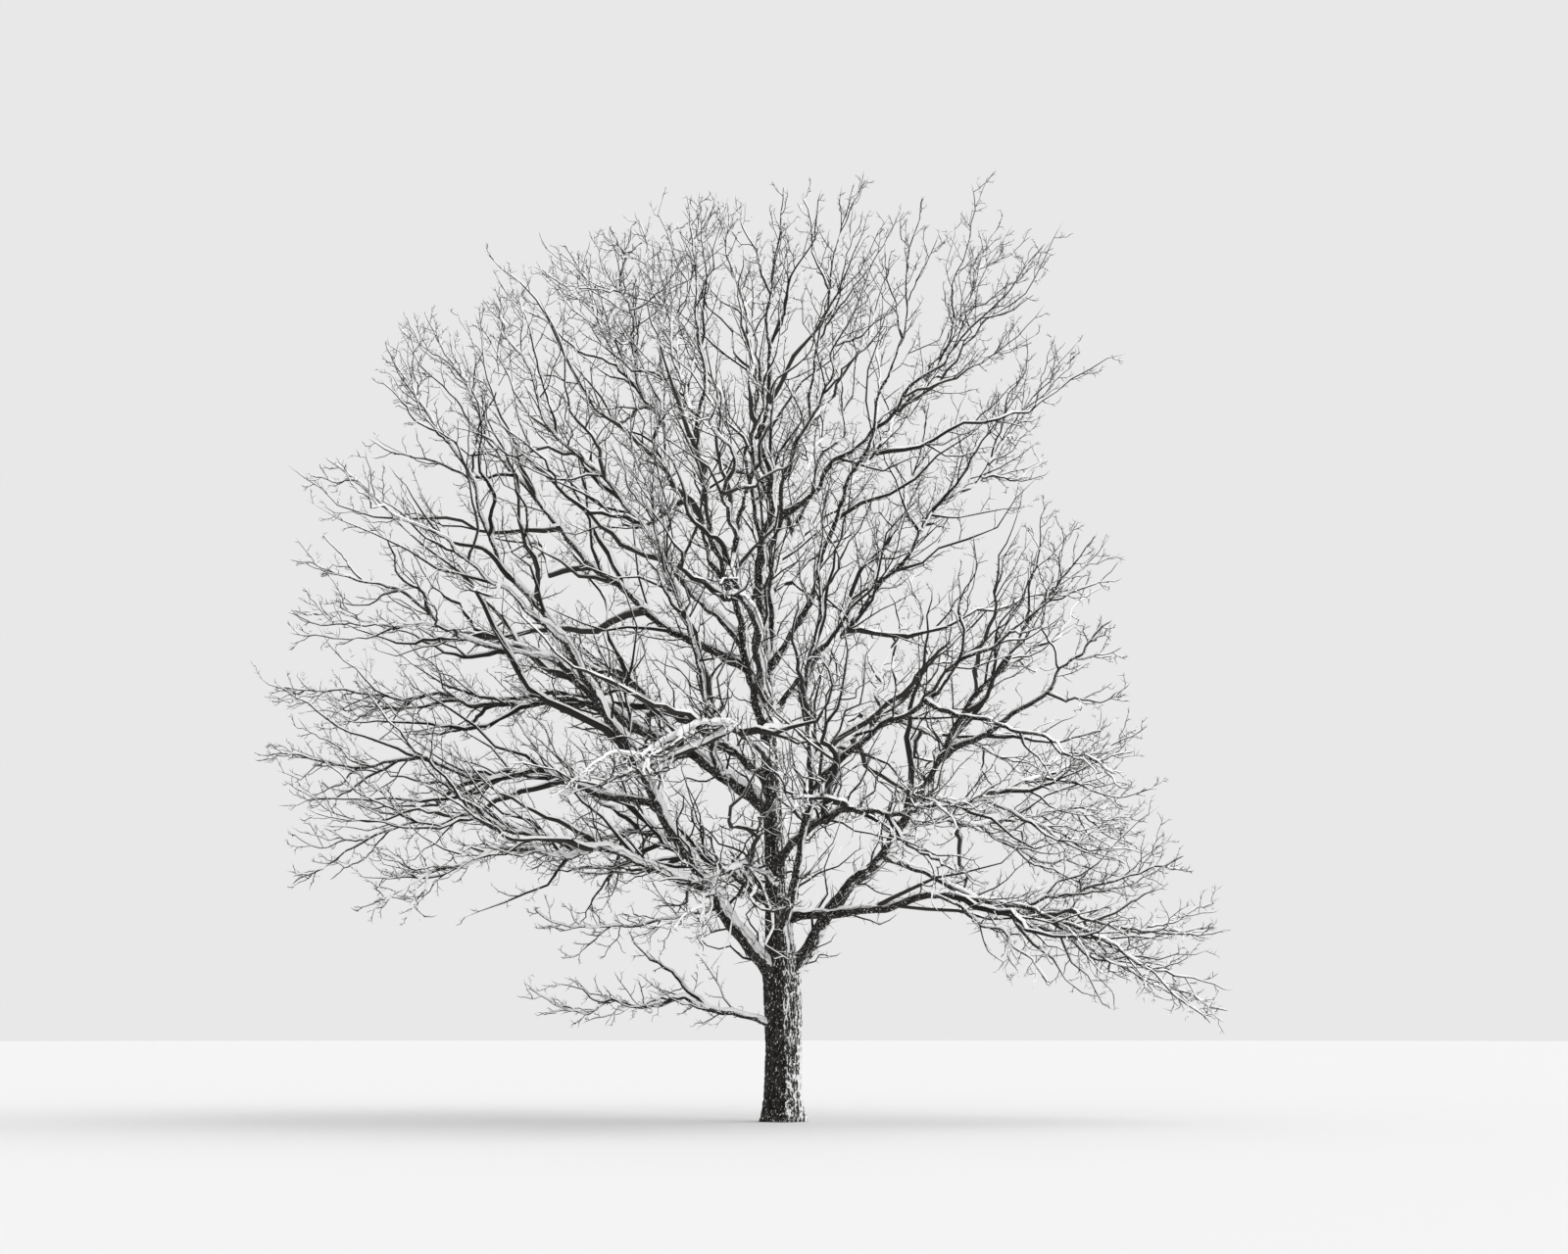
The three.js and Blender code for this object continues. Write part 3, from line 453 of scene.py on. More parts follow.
# How the finer lines are shown: steps to a piece, bends (kinks, bow, waves and sag, as shares of the
# length), how much thicker than by their rule, and the sides of their tubes.
SPRAY_BENDS, TWIG_BENDS = (0.03, 0.16, 0, 0.03), (0.06, 0.25, 0, 0)
SHOWN = dict(
    forks=(4, (0.011, 0.05, 0.02, 0.055), 1.3, 6),
    branches=(2, (0.02, 0.12, 0.03, 0.06), 1.25, 4),
    sprays=(2, SPRAY_BENDS, 1.3, 3),
    side_sprays=(1, SPRAY_BENDS, 1.3, 3),
    twigs=(1, TWIG_BENDS, 1.4, 3),
    side_twigs=(1, TWIG_BENDS, 1.4, 3),
    tips=(1, (0, 0, 0, 0), 1.45, 3),
    sprouts=(1, SPRAY_BENDS, 1.25, 3),
    sprout_twigs=(1, TWIG_BENDS, 1.3, 3),
    hangers=(5, (0.004, 0.2, 0.06, 0), 1.0, 4),
    risers=(2, (0.02, 0.15, 0.03, 0), 1.3, 4))
# Turns of the waves in a line, the share over which they start, and how far the deepest sag leans outward.
WAVES, WAVES_FROM = (1.2, 2.2), 0.3
SAG_LEAN = 1.4
# How much slimmer forks and branches are at the crown's edge, and how far out that starts and is full.
SLIMMER, SLIM_FROM = dict(forks=0.3, branches=0.2), (0.5, 0.9)


def noise(at, seed):
    """Soft noise from -1 to 1 at an array of places, one cell to a unit."""
    cell = np.floor(at).astype(np.int64)
    part = at - cell
    part = part * part * (3 - 2 * part)
    total = np.zeros(at.shape[:-1])
    for corner in np.ndindex(2, 2, 2):
        key = (cell + corner) * MIX_CELL
        key = (key[..., 0] ^ key[..., 1] ^ key[..., 2] ^ (seed * MIX_NOISE)) & LOW_BITS
        weight = np.prod(np.where(corner, part, 1 - part), axis=-1)
        total += weight * (2 * chance(key, PATCH) - 1)
    return total


def rounded(points, steps):
    """The bent lines of a level with so many steps to a piece, their corners partly rounded."""
    first = 2 * points[:, :1] - points[:, 1:2]
    last = 2 * points[:, -1:] - points[:, -2:-1]
    row = np.concatenate([first, points, last], axis=1)
    p0, p1, p2, p3 = (row[:, k:k + points.shape[1] - 1, None] for k in range(4))
    t = (np.arange(steps) / steps)[:, None]
    square, cube = 2 * p0 - 5 * p1 + 4 * p2 - p3, 3 * p1 - p0 - 3 * p2 + p3
    curve = (2 * p1 + (p2 - p0) * t + square * t ** 2 + cube * t ** 3) / 2
    shown = curve * (1 - KINK) + (p1 + (p2 - p1) * t) * KINK
    return np.concatenate([shown.reshape(len(points), -1, 3), points[:, -1:]], axis=1)


def resampled(radii, steps):
    corners = np.arange(radii.shape[1])
    at = np.arange((radii.shape[1] - 1) * steps + 1) / steps
    return np.array([np.interp(at, corners, row) for row in radii])


def knotty(line):
    """A limb with knees and smaller kinks, no larger than its own thickness."""
    share = np.linspace(0, 1, LIMB_SHOWN + 1)
    shown = rounded(line["points"][None], LIMB_SHOWN // LIMB_PIECES)[0]
    radii = np.interp(share, LIMB_SHARES, line["radii"])
    sides = across(unit(shown[-1] - shown[0]))
    for scale, (spacing, sway) in enumerate(KNEES):
        knees = np.arange(0, line["length"] + 2 * spacing, spacing)
        own = seed_of(line["seed"], KNEE_SEEDS * (scale + 1) + np.arange(len(knees)))
        for channel, side in zip((SIDEWAYS, UPWARD), sides):
            offset = np.interp(share * line["length"], knees, 2 * chance(own, channel) - 1)
            shown = shown + (sway * smoothstep(0, KNEES_FROM, share) * offset)[:, None] * side
    return shown, radii


def how_far_out(points, limb):
    """How far places are from the crown's middle, as shares of the reach of their limbs."""
    return norm(points - CROWN_CENTRE, axis=-1) / REACH[limb]


def show(level, parents, kind):
    """Adds to a level its lines as shown, crooked, and moved to start on the shown lines of their parents."""
    steps, (kink, bow, wave, sag), thicker, _ = SHOWN[kind]
    root, _, _ = along(parents["shown"], parents["thick"], level["which"], level["share"])
    shown = rounded(level["points"], steps) + (root - level["points"][:, 0])[:, None]
    share = np.linspace(0, 1, shown.shape[1])
    length = level["length"][:, None]
    run = shown[:, -1] - shown[:, 0]
    own = seed_of(level["seed"][:, None], KNEE_SEEDS + np.arange(shown.shape[1]))
    turns = WAVES[0] + (WAVES[1] - WAVES[0]) * chance(level["seed"], WAVE_TURNS)[:, None]
    for channel, side in zip((SIDEWAYS, UPWARD), across(unit(run))):
        bent = bow * (2 * chance(level["seed"], BOW + channel)[:, None] - 1) * share * share
        bent = bent + kink * (2 * chance(own, channel) - 1) * (share > 0)
        start = chance(level["seed"], WAVE_START + channel)[:, None]
        bent = bent + wave * np.sin(2 * np.pi * (turns * share + start)) * smoothstep(0, WAVES_FROM, share)
        shown = shown + (bent * length)[..., None] * side[:, None]
    level_run = norm(run[:, :2], axis=1)[:, None]
    shown[..., 2] -= sag * level_run * np.sin(np.pi * share ** SAG_LEAN)
    level["shown"] = shown
    slimming = SLIMMER.get(kind, 0) * smoothstep(*SLIM_FROM, how_far_out(shown, level["limb"][:, None]))
    level["thick"] = thicker * resampled(level["radii"], steps) * (1 - slimming)
    return level


# Meshes

def frames(points):
    """Directions along and across many lines, carried on from point to point without twist."""
    ahead = np.concatenate([points[:, 1:], 2 * points[:, -1:] - points[:, -2:-1]], axis=1)
    behind = np.concatenate([2 * points[:, :1] - points[:, 1:2], points[:, :-1]], axis=1)
    direction = unit(ahead - behind)
    side = np.empty_like(points)
    side[:, 0] = across(direction[:, 0])[0]
    for k in range(1, points.shape[1]):
        carried = side[:, k - 1]
        side[:, k] = unit(carried - (carried * direction[:, k]).sum(-1, keepdims=True) * direction[:, k])
    return direction, side, np.cross(direction, side)


def turns(count):
    """Angles to so many corners round a circle."""
    return np.arange(count) * 2 * np.pi / count


def circle(count, side=RIGHT, top=BACK):
    """Directions to so many corners round a line, from two directions across it."""
    turn = turns(count)[:, None]
    return np.cos(turn) * side + np.sin(turn) * top


def ring_of(start, size, closed=True):
    """The corners of a ring, or of an open row, and the corner that follows each."""
    k = np.arange(size if closed else size - 1)
    return start + k, start + (k + 1) % size


def triangles(*corners):
    return np.stack(np.broadcast_arrays(*corners), -1)


def skin_faces(rings, size, closed):
    """Triangles over rows of corners, round a tube or along an open strip, that end in one more corner."""
    faces = []
    for start in range(0, (rings - 1) * size, size):
        a, b = ring_of(start, size, closed)
        faces += [triangles(a, b, b + size), triangles(a, b + size, a + size)]
    faces.append(triangles(*ring_of((rings - 1) * size, size, closed), rings * size))
    faces = np.concatenate(faces)
    return faces if closed else faces[:, ::-1]


def tubes(points, radii, sides):
    """Corners of tubes along many lines, open at the root, where they are sunk in, and drawn to a point."""
    _, side, top = frames(points)
    ring = circle(sides, side[:, :-1, None], top[:, :-1, None])
    corners = points[:, :-1, None] + radii[:, :-1, None, None] * ring
    corners = np.concatenate([corners.reshape(len(points), -1, 3), points[:, -1:]], axis=1)
    return corners, skin_faces(points.shape[1] - 1, sides, True)


def many(group, pattern, tints):
    """Like bodies (corners by body, triangles of one, tint by body) as one skin."""
    starts = np.arange(len(group))[:, None, None] * group.shape[1]
    return group.reshape(-1, 3), (pattern + starts).reshape(-1, 3), {"tint": np.repeat(tints, len(pattern))}


def several(skins):
    """Several skins with their values as one."""
    start = np.cumsum([0] + [len(corners) for corners, _, _ in skins])
    faces = [triangles + first for (_, triangles, _), first in zip(skins, start)]
    values = {key: np.concatenate([own[key] for _, _, own in skins]) for key in skins[0][2]}
    return np.concatenate([corners for corners, _, _ in skins]), np.concatenate(faces), values


def loft(rings):
    """A skin over rings, where the next ring has as many corners as the last or half as many."""
    faces, start = [], 0
    for here, ahead in zip(rings, rings[1:]):
        a, b = ring_of(start, len(here))
        start += len(here)
        c, d = ring_of(start, len(ahead))
        if len(here) == len(ahead):
            faces += [triangles(a, b, d), triangles(a, d, c)]
        else:
            odd = a[1::2]
            faces += [triangles(a[::2], odd, c), triangles(odd, d, c), triangles(odd, b[1::2], d)]
    return np.concatenate(rings), np.concatenate(faces)


def capped(skin, start, size, middle, flip=False):
    """A skin with a ring of its corners closed by one more corner in the middle."""
    corners, faces = skin
    a, b = ring_of(start, size)
    extra = triangles(b, a, len(corners)) if flip else triangles(a, b, len(corners))
    return np.concatenate([corners, middle[None]]), np.concatenate([faces, extra])


BARK_VALUES = ("bark_at", "snow", "relief")


def with_values(skin, rows, ends):
    """A skin with its rings' values for the bark's material. The caps' middles take those of the ends."""
    kept = [np.concatenate(column) for column in list(zip(*rows))[1:]]
    return (*skin, {key: np.concatenate([value, value[ends]]) for key, value in zip(BARK_VALUES, kept)})


def placed(name, data):
    """A new object in the scene."""
    made = bpy.data.objects.new(name, data)
    bpy.context.scene.collection.objects.link(made)
    return made


def piece(name, skin, slot, materials, nodes=()):
    """One piece of the scene from its skin, riding on the tree's body."""
    corners, faces, values = skin
    mesh = bpy.data.meshes.new(name)
    mesh.vertices.add(len(corners))
    mesh.vertices.foreach_set("co", np.ascontiguousarray(corners, np.float32).ravel())
    mesh.loops.add(3 * len(faces))
    mesh.loops.foreach_set("vertex_index", np.ascontiguousarray(faces, np.int32).ravel())
    mesh.polygons.add(len(faces))
    mesh.polygons.foreach_set("loop_start", np.arange(0, 3 * len(faces), 3, dtype=np.int32))
    for material in materials:
        mesh.materials.append(material)
    if "tint" in values:
        mesh.polygons.foreach_set("material_index", values["tint"].astype(np.int32))
    mesh.polygons.foreach_set("use_smooth", np.ones(len(faces), bool))
    mesh.update(calc_edges=True)
    for key in BARK_VALUES:
        if key in values:
            kind, field = ("FLOAT_VECTOR", "vector") if key == "bark_at" else ("FLOAT", "value")
            attribute = mesh.attributes.new(key, kind, "POINT")
            attribute.data.foreach_set(field, values[key].astype(np.float32).ravel())
    made = placed(name, mesh)
    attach(made, "root")
    if nodes:
        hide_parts(*nodes)


# Bark

# Where the snow comes from: wind that speckles all bark, a squall that plasters the limbs, and quiet
# snowfall.
WIND = unit(np.array([1.0, -0.05, 0.12]))
SQUALL = unit(np.array([0.92, -0.12, 0.36]))
SNOWFALL = unit(np.array([0.4, -0.02, 0.92]))
# How far bark faces the wind where it is first and fully speckled, first and fully plastered, and how
# snowy then.
SPECKLED_FROM, PLASTERED_FROM = (-0.1, 0.2), (0.75, 1.0)
SPECKLED, PLASTERED = 0.24, 0.55
BLOWN_PATCH, BLOWN_PLAY = np.array([0.3, 0.3, 0.9]), 0.1
# The same for the limbs: snow that lies on them and snow that the squall leaves.
LIES_FROM, LEFT_FROM = (0.5, 0.95), (0.3, 0.62)
LIMB_PLASTERED = 0.66
LEFT_PATCH, LEFT_PLAY = 0.1, 0.12
# Sizes of the bark's plates and of its grain, round the wood and along it.
PLATE = np.array([0.052, 0.052, 0.15])
SMALL_PLATE = np.array([0.03, 0.03, 0.06])
GRAIN = np.array([0.018, 0.018, 0.032])
# Width of the furrows in their noise, and depth of the small ones and of the grain as shares of the large
# ones'.
FURROW, SMALL_DEPTH, GRAIN_HEIGHT = 0.2, 0.7, 0.25
# Depth of the furrows, on a limb as a share of its radius, the radius with fully old bark, and the
# young's scale.
TRUNK_FURROW, LIMB_FURROW = 0.018, 0.08
OLD_BARK, YOUNG_SCALE = 0.28, 0.6
# How much of the furrows snow fills, and how far it then stands out.
FILLED, FILL_HEIGHT = 0.75, 0.25
# Size of the wood's lumps and how much they stand out, and the trunk's swelling round a limb, in the
# limb's girths.
TRUNK_LUMP, TRUNK_LUMPS = np.array([0.35, 0.35, 0.6]), 0.035
LIMB_LUMP, LIMB_LUMPS = np.array([0.12, 0.12, 0.25]), 0.07
SWELLING, SWELLING_WIDTH = 0.42, 1.25
# Corners round the trunk and the height at which they are halved, and its rings' spacing at the foot and
# from there.
TRUNK_CORNERS, TRUNK_HALVED = 224, 3.2
RING_NEAR, RING_FAR = 0.022, 0.042
# Spacing of a limb's rings: least, most, and in widths of a face. The last is how near to an end one may be.
RING_LEAST, RING_MOST, RING_STRETCH, SHORTEST_RING = 0.055, 0.1, 2, 0.03
# Least radius of a limb for each number of corners round it.
LIMB_SIDES = [(0.07, 24), (0.027, 12), (0, 6)]
# The trunk's radii are smoothed: at how many heights, over how many on each side, and how narrowly.
SMOOTHED_AT, SMOOTHED_OVER, SMOOTHING = 400, 10, 1.6
# How much thicker a limb is at its root, how far that reaches in its girths, and the first on the trunk's
# top.
COLLAR, COLLAR_LENGTH, TOP_COLLAR = 0.35, 3.2, 0.12


def relief(at, scale):
    """Bark in its straightened place (around, around, along): plates at 0, furrows down to -1."""
    wide = noise(at / (PLATE * scale), PLATES)
    small = noise(at / (SMALL_PLATE * scale), SMALL_PLATES)
    cut = np.maximum(np.exp(-(wide / FURROW) ** 2), SMALL_DEPTH * np.exp(-(small / FURROW) ** 2))
    return GRAIN_HEIGHT * noise(at / (GRAIN * scale), GRAINS) - cut


def blown(normal, at):
    """How much snow is blown against bark: it is speckled, and whiter where it faces the wind."""
    facing = normal @ WIND + BLOWN_PLAY * noise(at / BLOWN_PATCH, BLOWN)
    speckled, plastered = smoothstep(*SPECKLED_FROM, facing), smoothstep(*PLASTERED_FROM, facing)
    return SPECKLED * speckled + (PLASTERED - SPECKLED) * plastered


def swelling(corners):
    """How far the trunk's skin is pushed out round the roots of the limbs that it carries."""
    push = np.zeros(len(corners))
    for line in ALL:
        if line["on"] != "trunk" or line["at"] >= TRUNK_TOP:
            continue
        root, ahead = line["points"][0], unit(line["points"][1] - line["points"][0])
        away = corners - root
        forward = away @ ahead
        gap = norm(away - forward[:, None] * ahead, axis=1) / line["girth"]
        push += np.where(forward > 0, SWELLING * line["girth"] * np.exp(-(gap / SWELLING_WIDTH) ** 2), 0)
    return push


def smooth_taper():
    """Heights up the trunk and its radii there, without the corners of the measured ones."""
    heights = np.linspace(0, TRUNK_TOP, SMOOTHED_AT)
    kernel = np.exp(-(np.linspace(-1, 1, 2 * SMOOTHED_OVER + 1) * SMOOTHING) ** 2)
    radii = trunk_radius(heights)
    below = 2 * radii[0] - radii[SMOOTHED_OVER:0:-1]
    above = 2 * radii[-1] - radii[-2:-2 - SMOOTHED_OVER:-1]
    return heights, np.convolve(np.concatenate([below, radii, above]), kernel / kernel.sum(), "valid")


def trunk_mesh():
    """The trunk, closed at its foot and its top, with fewer corners round it higher up."""
    heights = [0.0]
    while heights[-1] < TRUNK_TOP - SHORTEST_RING:
        share = min(1, heights[-1] / TRUNK_HALVED)
        heights.append(heights[-1] + RING_NEAR + (RING_FAR - RING_NEAR) * share * share)
    heights = heights[:-1] + [TRUNK_TOP]
    rows = []
    for height, radius in zip(heights, np.interp(heights, *smooth_taper())):
        count = TRUNK_CORNERS if height < TRUNK_HALVED else TRUNK_CORNERS // 2
        around = circle(count)
        flare = FLARE_DEPTH * math.exp(-height / FLARE_HEIGHT)
        size = radius * (1 + flare * np.cos(FLARE_LOBES * turns(count) + FLARE_TURN))
        middle = trunk_middle(height)
        corner = middle + size[:, None] * around
        size = size + swelling(corner)
        lumps = 1 + TRUNK_LUMPS * noise(corner / TRUNK_LUMP, LUMPS)
        place = size[:, None] * around + height * UP
        snow = blown(around, corner)
        fill = smoothstep(SPECKLED, 1, snow)
        age = min(1, radius / OLD_BARK)
        cut = relief(place, YOUNG_SCALE + (1 - YOUNG_SCALE) * age)
        bark = cut * (1 - FILLED * fill) + FILL_HEIGHT * fill
        ring = middle + (size * lumps + TRUNK_FURROW * age * bark)[:, None] * around
        rows.append((ring, place, snow, cut))
    first, last = rows[0][0], rows[-1][0]
    skin = loft([row[0] for row in rows])
    top = len(skin[0]) - len(last)
    skin = capped(capped(skin, 0, len(first), first.mean(axis=0), True), top, len(last), last.mean(axis=0))
    return with_values(skin, rows, [0, -1])


def limb_mesh(line):
    """One limb from its root to its tip, with fewer corners round it as it thins."""
    shown, thick = line["shown"], line["thick"]
    distance = np.concatenate([[0], np.cumsum(norm(np.diff(shown, axis=0), axis=1))])
    at, sides = [0.0], []
    while True:
        radius = np.interp(at[-1], distance, thick)
        sides.append(next(count for least, count in LIMB_SIDES if radius > least))
        ahead = at[-1] + np.clip(2 * np.pi * radius / sides[-1] * RING_STRETCH, RING_LEAST, RING_MOST)
        if ahead > distance[-1] - SHORTEST_RING:
            break
        at.append(ahead)
    at = np.array(at + [distance[-1]])
    middle = np.stack([np.interp(at, distance, shown[:, axis]) for axis in range(3)], -1)
    radius = np.interp(at, distance, thick) * collar(line, at)
    _, side, top = frames(middle[None])
    rows = []
    for k, count in enumerate(sides):
        around = circle(count, side[0, k], top[0, k])
        place = radius[k] * circle(count) + at[k] * UP + line["limb"]
        cut = relief(place, YOUNG_SCALE)
        lumps = 1 + LIMB_LUMPS * noise(place / LIMB_LUMP, LUMPS)
        ring = middle[k] + (radius[k] * (lumps + LIMB_FURROW * cut))[:, None] * around
        lying = smoothstep(*LIES_FROM, around @ SNOWFALL)
        facing = around @ SQUALL + LEFT_PLAY * noise(place / LEFT_PATCH, LEFT)
        left = LIMB_PLASTERED * smoothstep(*LEFT_FROM, facing)
        rows.append((ring, place, np.maximum(blown(around, ring), np.maximum(lying, left)), cut))
    skin = loft([row[0] for row in rows])
    skin = capped(skin, len(skin[0]) - sides[-1], sides[-1], middle[-1])
    return with_values(skin, rows, [-sides[-1]])


def collar(line, at):
    """How much thicker a limb is close to what carries it."""
    if line["on"] != "trunk":
        carrier = LINES[line["on"]]
        surface = np.interp(line["at"], LIMB_SHARES, carrier["radii"])
    elif line["at"] < TRUNK_TOP:
        surface = trunk_radius(line["at"])
    else:
        return 1 + TOP_COLLAR * np.exp(-at / line["girth"])
    return 1 + COLLAR * np.exp(-np.maximum(at - surface, 0) / (COLLAR_LENGTH * line["girth"]))


# Snow lying on what is flat enough

# How level a line is, from 0 (along the snowfall) to 1 (across it), where snow starts to lie and where it
# lies full.
SNOW_SLOPES, HUNG_SNOW_SLOPES = (0.36, 0.84), (0.1, 0.7)
SNOW_SHARE = 0.5
# Snow lies in patches: size, play and seed of the large ones and of the fine ones, round a mean and up to
# a most.
SNOW_PATCHES = [(0.5, 0.6, 9), (0.125, 0.25, 10)]
SNOW_MEAN, SNOW_MOST = 0.75, 1.3
# How much deeper it is in the crotches, how far out of them that reaches, and where it thins out at the end.
CROTCH, CROTCH_LENGTH = 0.8, 0.35
SNOW_END = 0.96
# Angles of a cap's corners from its crest, its roundness, and how far it is drawn in where it is thin.
LIMB_SECTION = (-64, -34, 0, 34, 64)
FORK_SECTION = (-62, -20, 20, 62)
TWIG_SECTION = (-62, 0, 62)
SNOW_ROUND = 0.7
SUNK, SUNK_BELOW = 0.5, 0.25
# How wide a cap is as a share of its section, how much that plays, and over what length.
EDGE, EDGE_PLAY, EDGE_PATCH = 0.85, 0.45, 0.11
# Least depth of a cap that is made, as a share of the depth on the thinnest lines.
LEAST_SEEN = 0.3
# The section of the caps on each kind of line, their depth on the thinnest, and how many shown corners to
# a step.
SNOWED = dict(
    limbs=(LIMB_SECTION, 0.022, 2), forks=(FORK_SECTION, 0.02, 1), branches=(TWIG_SECTION, 0.013, 1),
    sprays=(TWIG_SECTION, 0.008, 1), side_sprays=(TWIG_SECTION, 0.007, 1), twigs=(TWIG_SECTION, 0.005, 1),
    hangers=(FORK_SECTION, 0.014, 1))


def snow_on(kind, level):
    """Caps of snow along many lines, on the side that faces the snowfall, thin where they are steep."""
    section, least, step = SNOWED[kind]
    points, radii = level["shown"][:, ::step], level["thick"][:, ::step]
    direction, _, _ = frames(points)
    up = SNOWFALL - (direction @ SNOWFALL)[..., None] * direction
    flat = norm(up, axis=-1)
    up = unit(up)
    side = np.cross(direction, up)
    patch = SNOW_MEAN + sum(play * noise(points / size, seed) for size, play, seed in SNOW_PATCHES)
    full = least + SNOW_SHARE * radii
    slopes = HUNG_SNOW_SLOPES if kind == "hangers" else SNOW_SLOPES
    deep = full * smoothstep(*slopes, flat) * np.clip(patch, 0, SNOW_MOST)
    if kind in ("limbs", "forks"):
        run = norm(points - points[:, :1], axis=-1)
        deep = deep * (1 + CROTCH * np.exp(-run / CROTCH_LENGTH))
    deep = deep * smoothstep(1, SNOW_END, np.linspace(0, 1, points.shape[1]))
    here = smoothstep(0, 1, deep / (SUNK_BELOW * full))
    widths = np.stack([EDGE + EDGE_PLAY * noise(points / EDGE_PATCH, seed) for seed in EDGES], -1)
    angle = np.radians(section) * np.where(np.array(section) < 0, widths[..., :1], widths[..., 1:])
    height = np.maximum(0, np.cos(np.radians(section))) ** SNOW_ROUND
    hold = radii[..., None] * (SUNK + (1 - SUNK) * here[..., None]) + deep[..., None] * height
    corners = points[:, :, None] + hold[..., None] * (
        np.cos(angle)[..., None] * up[:, :, None] + np.sin(angle)[..., None] * side[:, :, None])
    keep = deep.max(axis=1) > LEAST_SEEN * least
    corners = corners[:, :-1].reshape(len(points), -1, 3)
    corners = np.concatenate([corners, points[:, -1:]], axis=1)
    faces = skin_faces(points.shape[1] - 1, len(section), False)
    return many(corners[keep], faces, np.zeros(keep.sum(), int))


# Growing the whole tree

# The share of a limb, from its root, that has short shoots.
OLD_WOOD_TO = 0.6
# The share of shoots kept deep inside the crown, and how far out that ends and all would grow.
INNER_KEPT = 0.5
INNER, OUTER = 0.3, 0.8
TWIGS_KEPT = 0.88
# Where the crown's edge begins and ends, at which all shoots are kept.
EDGE_FROM = (0.78, 1.0)
# The finer a shoot is, the less it matters that its limb is a barer one.
BARER_FINE = 0.5
FINE_FULL = np.array([line["full"] ** BARER_FINE * line["fine"] for line in ALL])
TWIGS_FULL = np.full(len(ALL), TWIGS_KEPT)
# How near a limb's box a line is tested against it, and how soon a limb leaves its carrier's shown line.
NEAR = 0.4
LEAVING = 3


def show_limbs():
    """Gives each limb its line as shown, moved at its root onto the shown line of its carrier."""
    for line in ALL:
        shown, thick = knotty(line)
        if line["on"] != "trunk":
            root = one_along(LINES[line["on"]], line["at"], "shown", "thick")
            shown = shown + (root - shown[:1]) * np.linspace(1, 0, LIMB_SHOWN + 1)[:, None] ** LEAVING
        line["shown"], line["thick"] = shown, thick


def clear_of_wood(level):
    """The lines of a level that keep off the trunk and every limb but their own."""
    tested = level["shown"][:, 1:]
    clear = np.ones(len(tested), bool)
    wood = [(line["points"], line["radii"], line["limb"]) for line in ALL]
    for points, radii, limb in [*wood, (*TRUNK_LINE, -1)]:
        near = ((tested > points.min(axis=0) - NEAR) & (tested < points.max(axis=0) + NEAR)).all(-1).any(-1)
        near = np.flatnonzero(near & (level["limb"] != limb))
        spans = points[1:] - points[:-1]
        away = tested[near][:, :, None] - points[:-1]
        share = np.clip((away * spans).sum(-1) / (spans * spans).sum(-1), 0, 1)
        gap = norm(away - share[..., None] * spans, axis=-1)
        clear[near[(gap < radii[:-1] + AIR).any(axis=(1, 2))]] = False
    return chosen(level, clear)


def thinned(level, kept, always=np.inf):
    """A level with most of its lines left out deep inside the crown, apart from the long ones."""
    out = how_far_out(level["points"][:, 0], level["limb"])
    kept = kept[level["limb"]]
    kept = kept + (1 - kept) * smoothstep(*EDGE_FROM, out)
    likely = (INNER_KEPT + (1 - INNER_KEPT) * smoothstep(INNER, OUTER, out)) * kept
    return chosen(level, (chance(level["seed"], THIN) < likely) | (level["length"] > always))


def trunk_level():
    """The upper trunk as a line that carries short shoots."""
    heights = np.linspace(SPROUT_FROM, TRUNK_TOP, LIMB_PIECES + 1)
    points, radii = trunk_middle(heights)[None], trunk_radius(heights)[None]
    return dict(
        points=points, radii=radii, shown=points, thick=radii, length=np.array([TRUNK_TOP - SPROUT_FROM]),
        seed=np.array([seed_of(LIMB_SEEDS - 1, 0)]), limb=np.array([LINES["leader_centre"]["limb"]]))


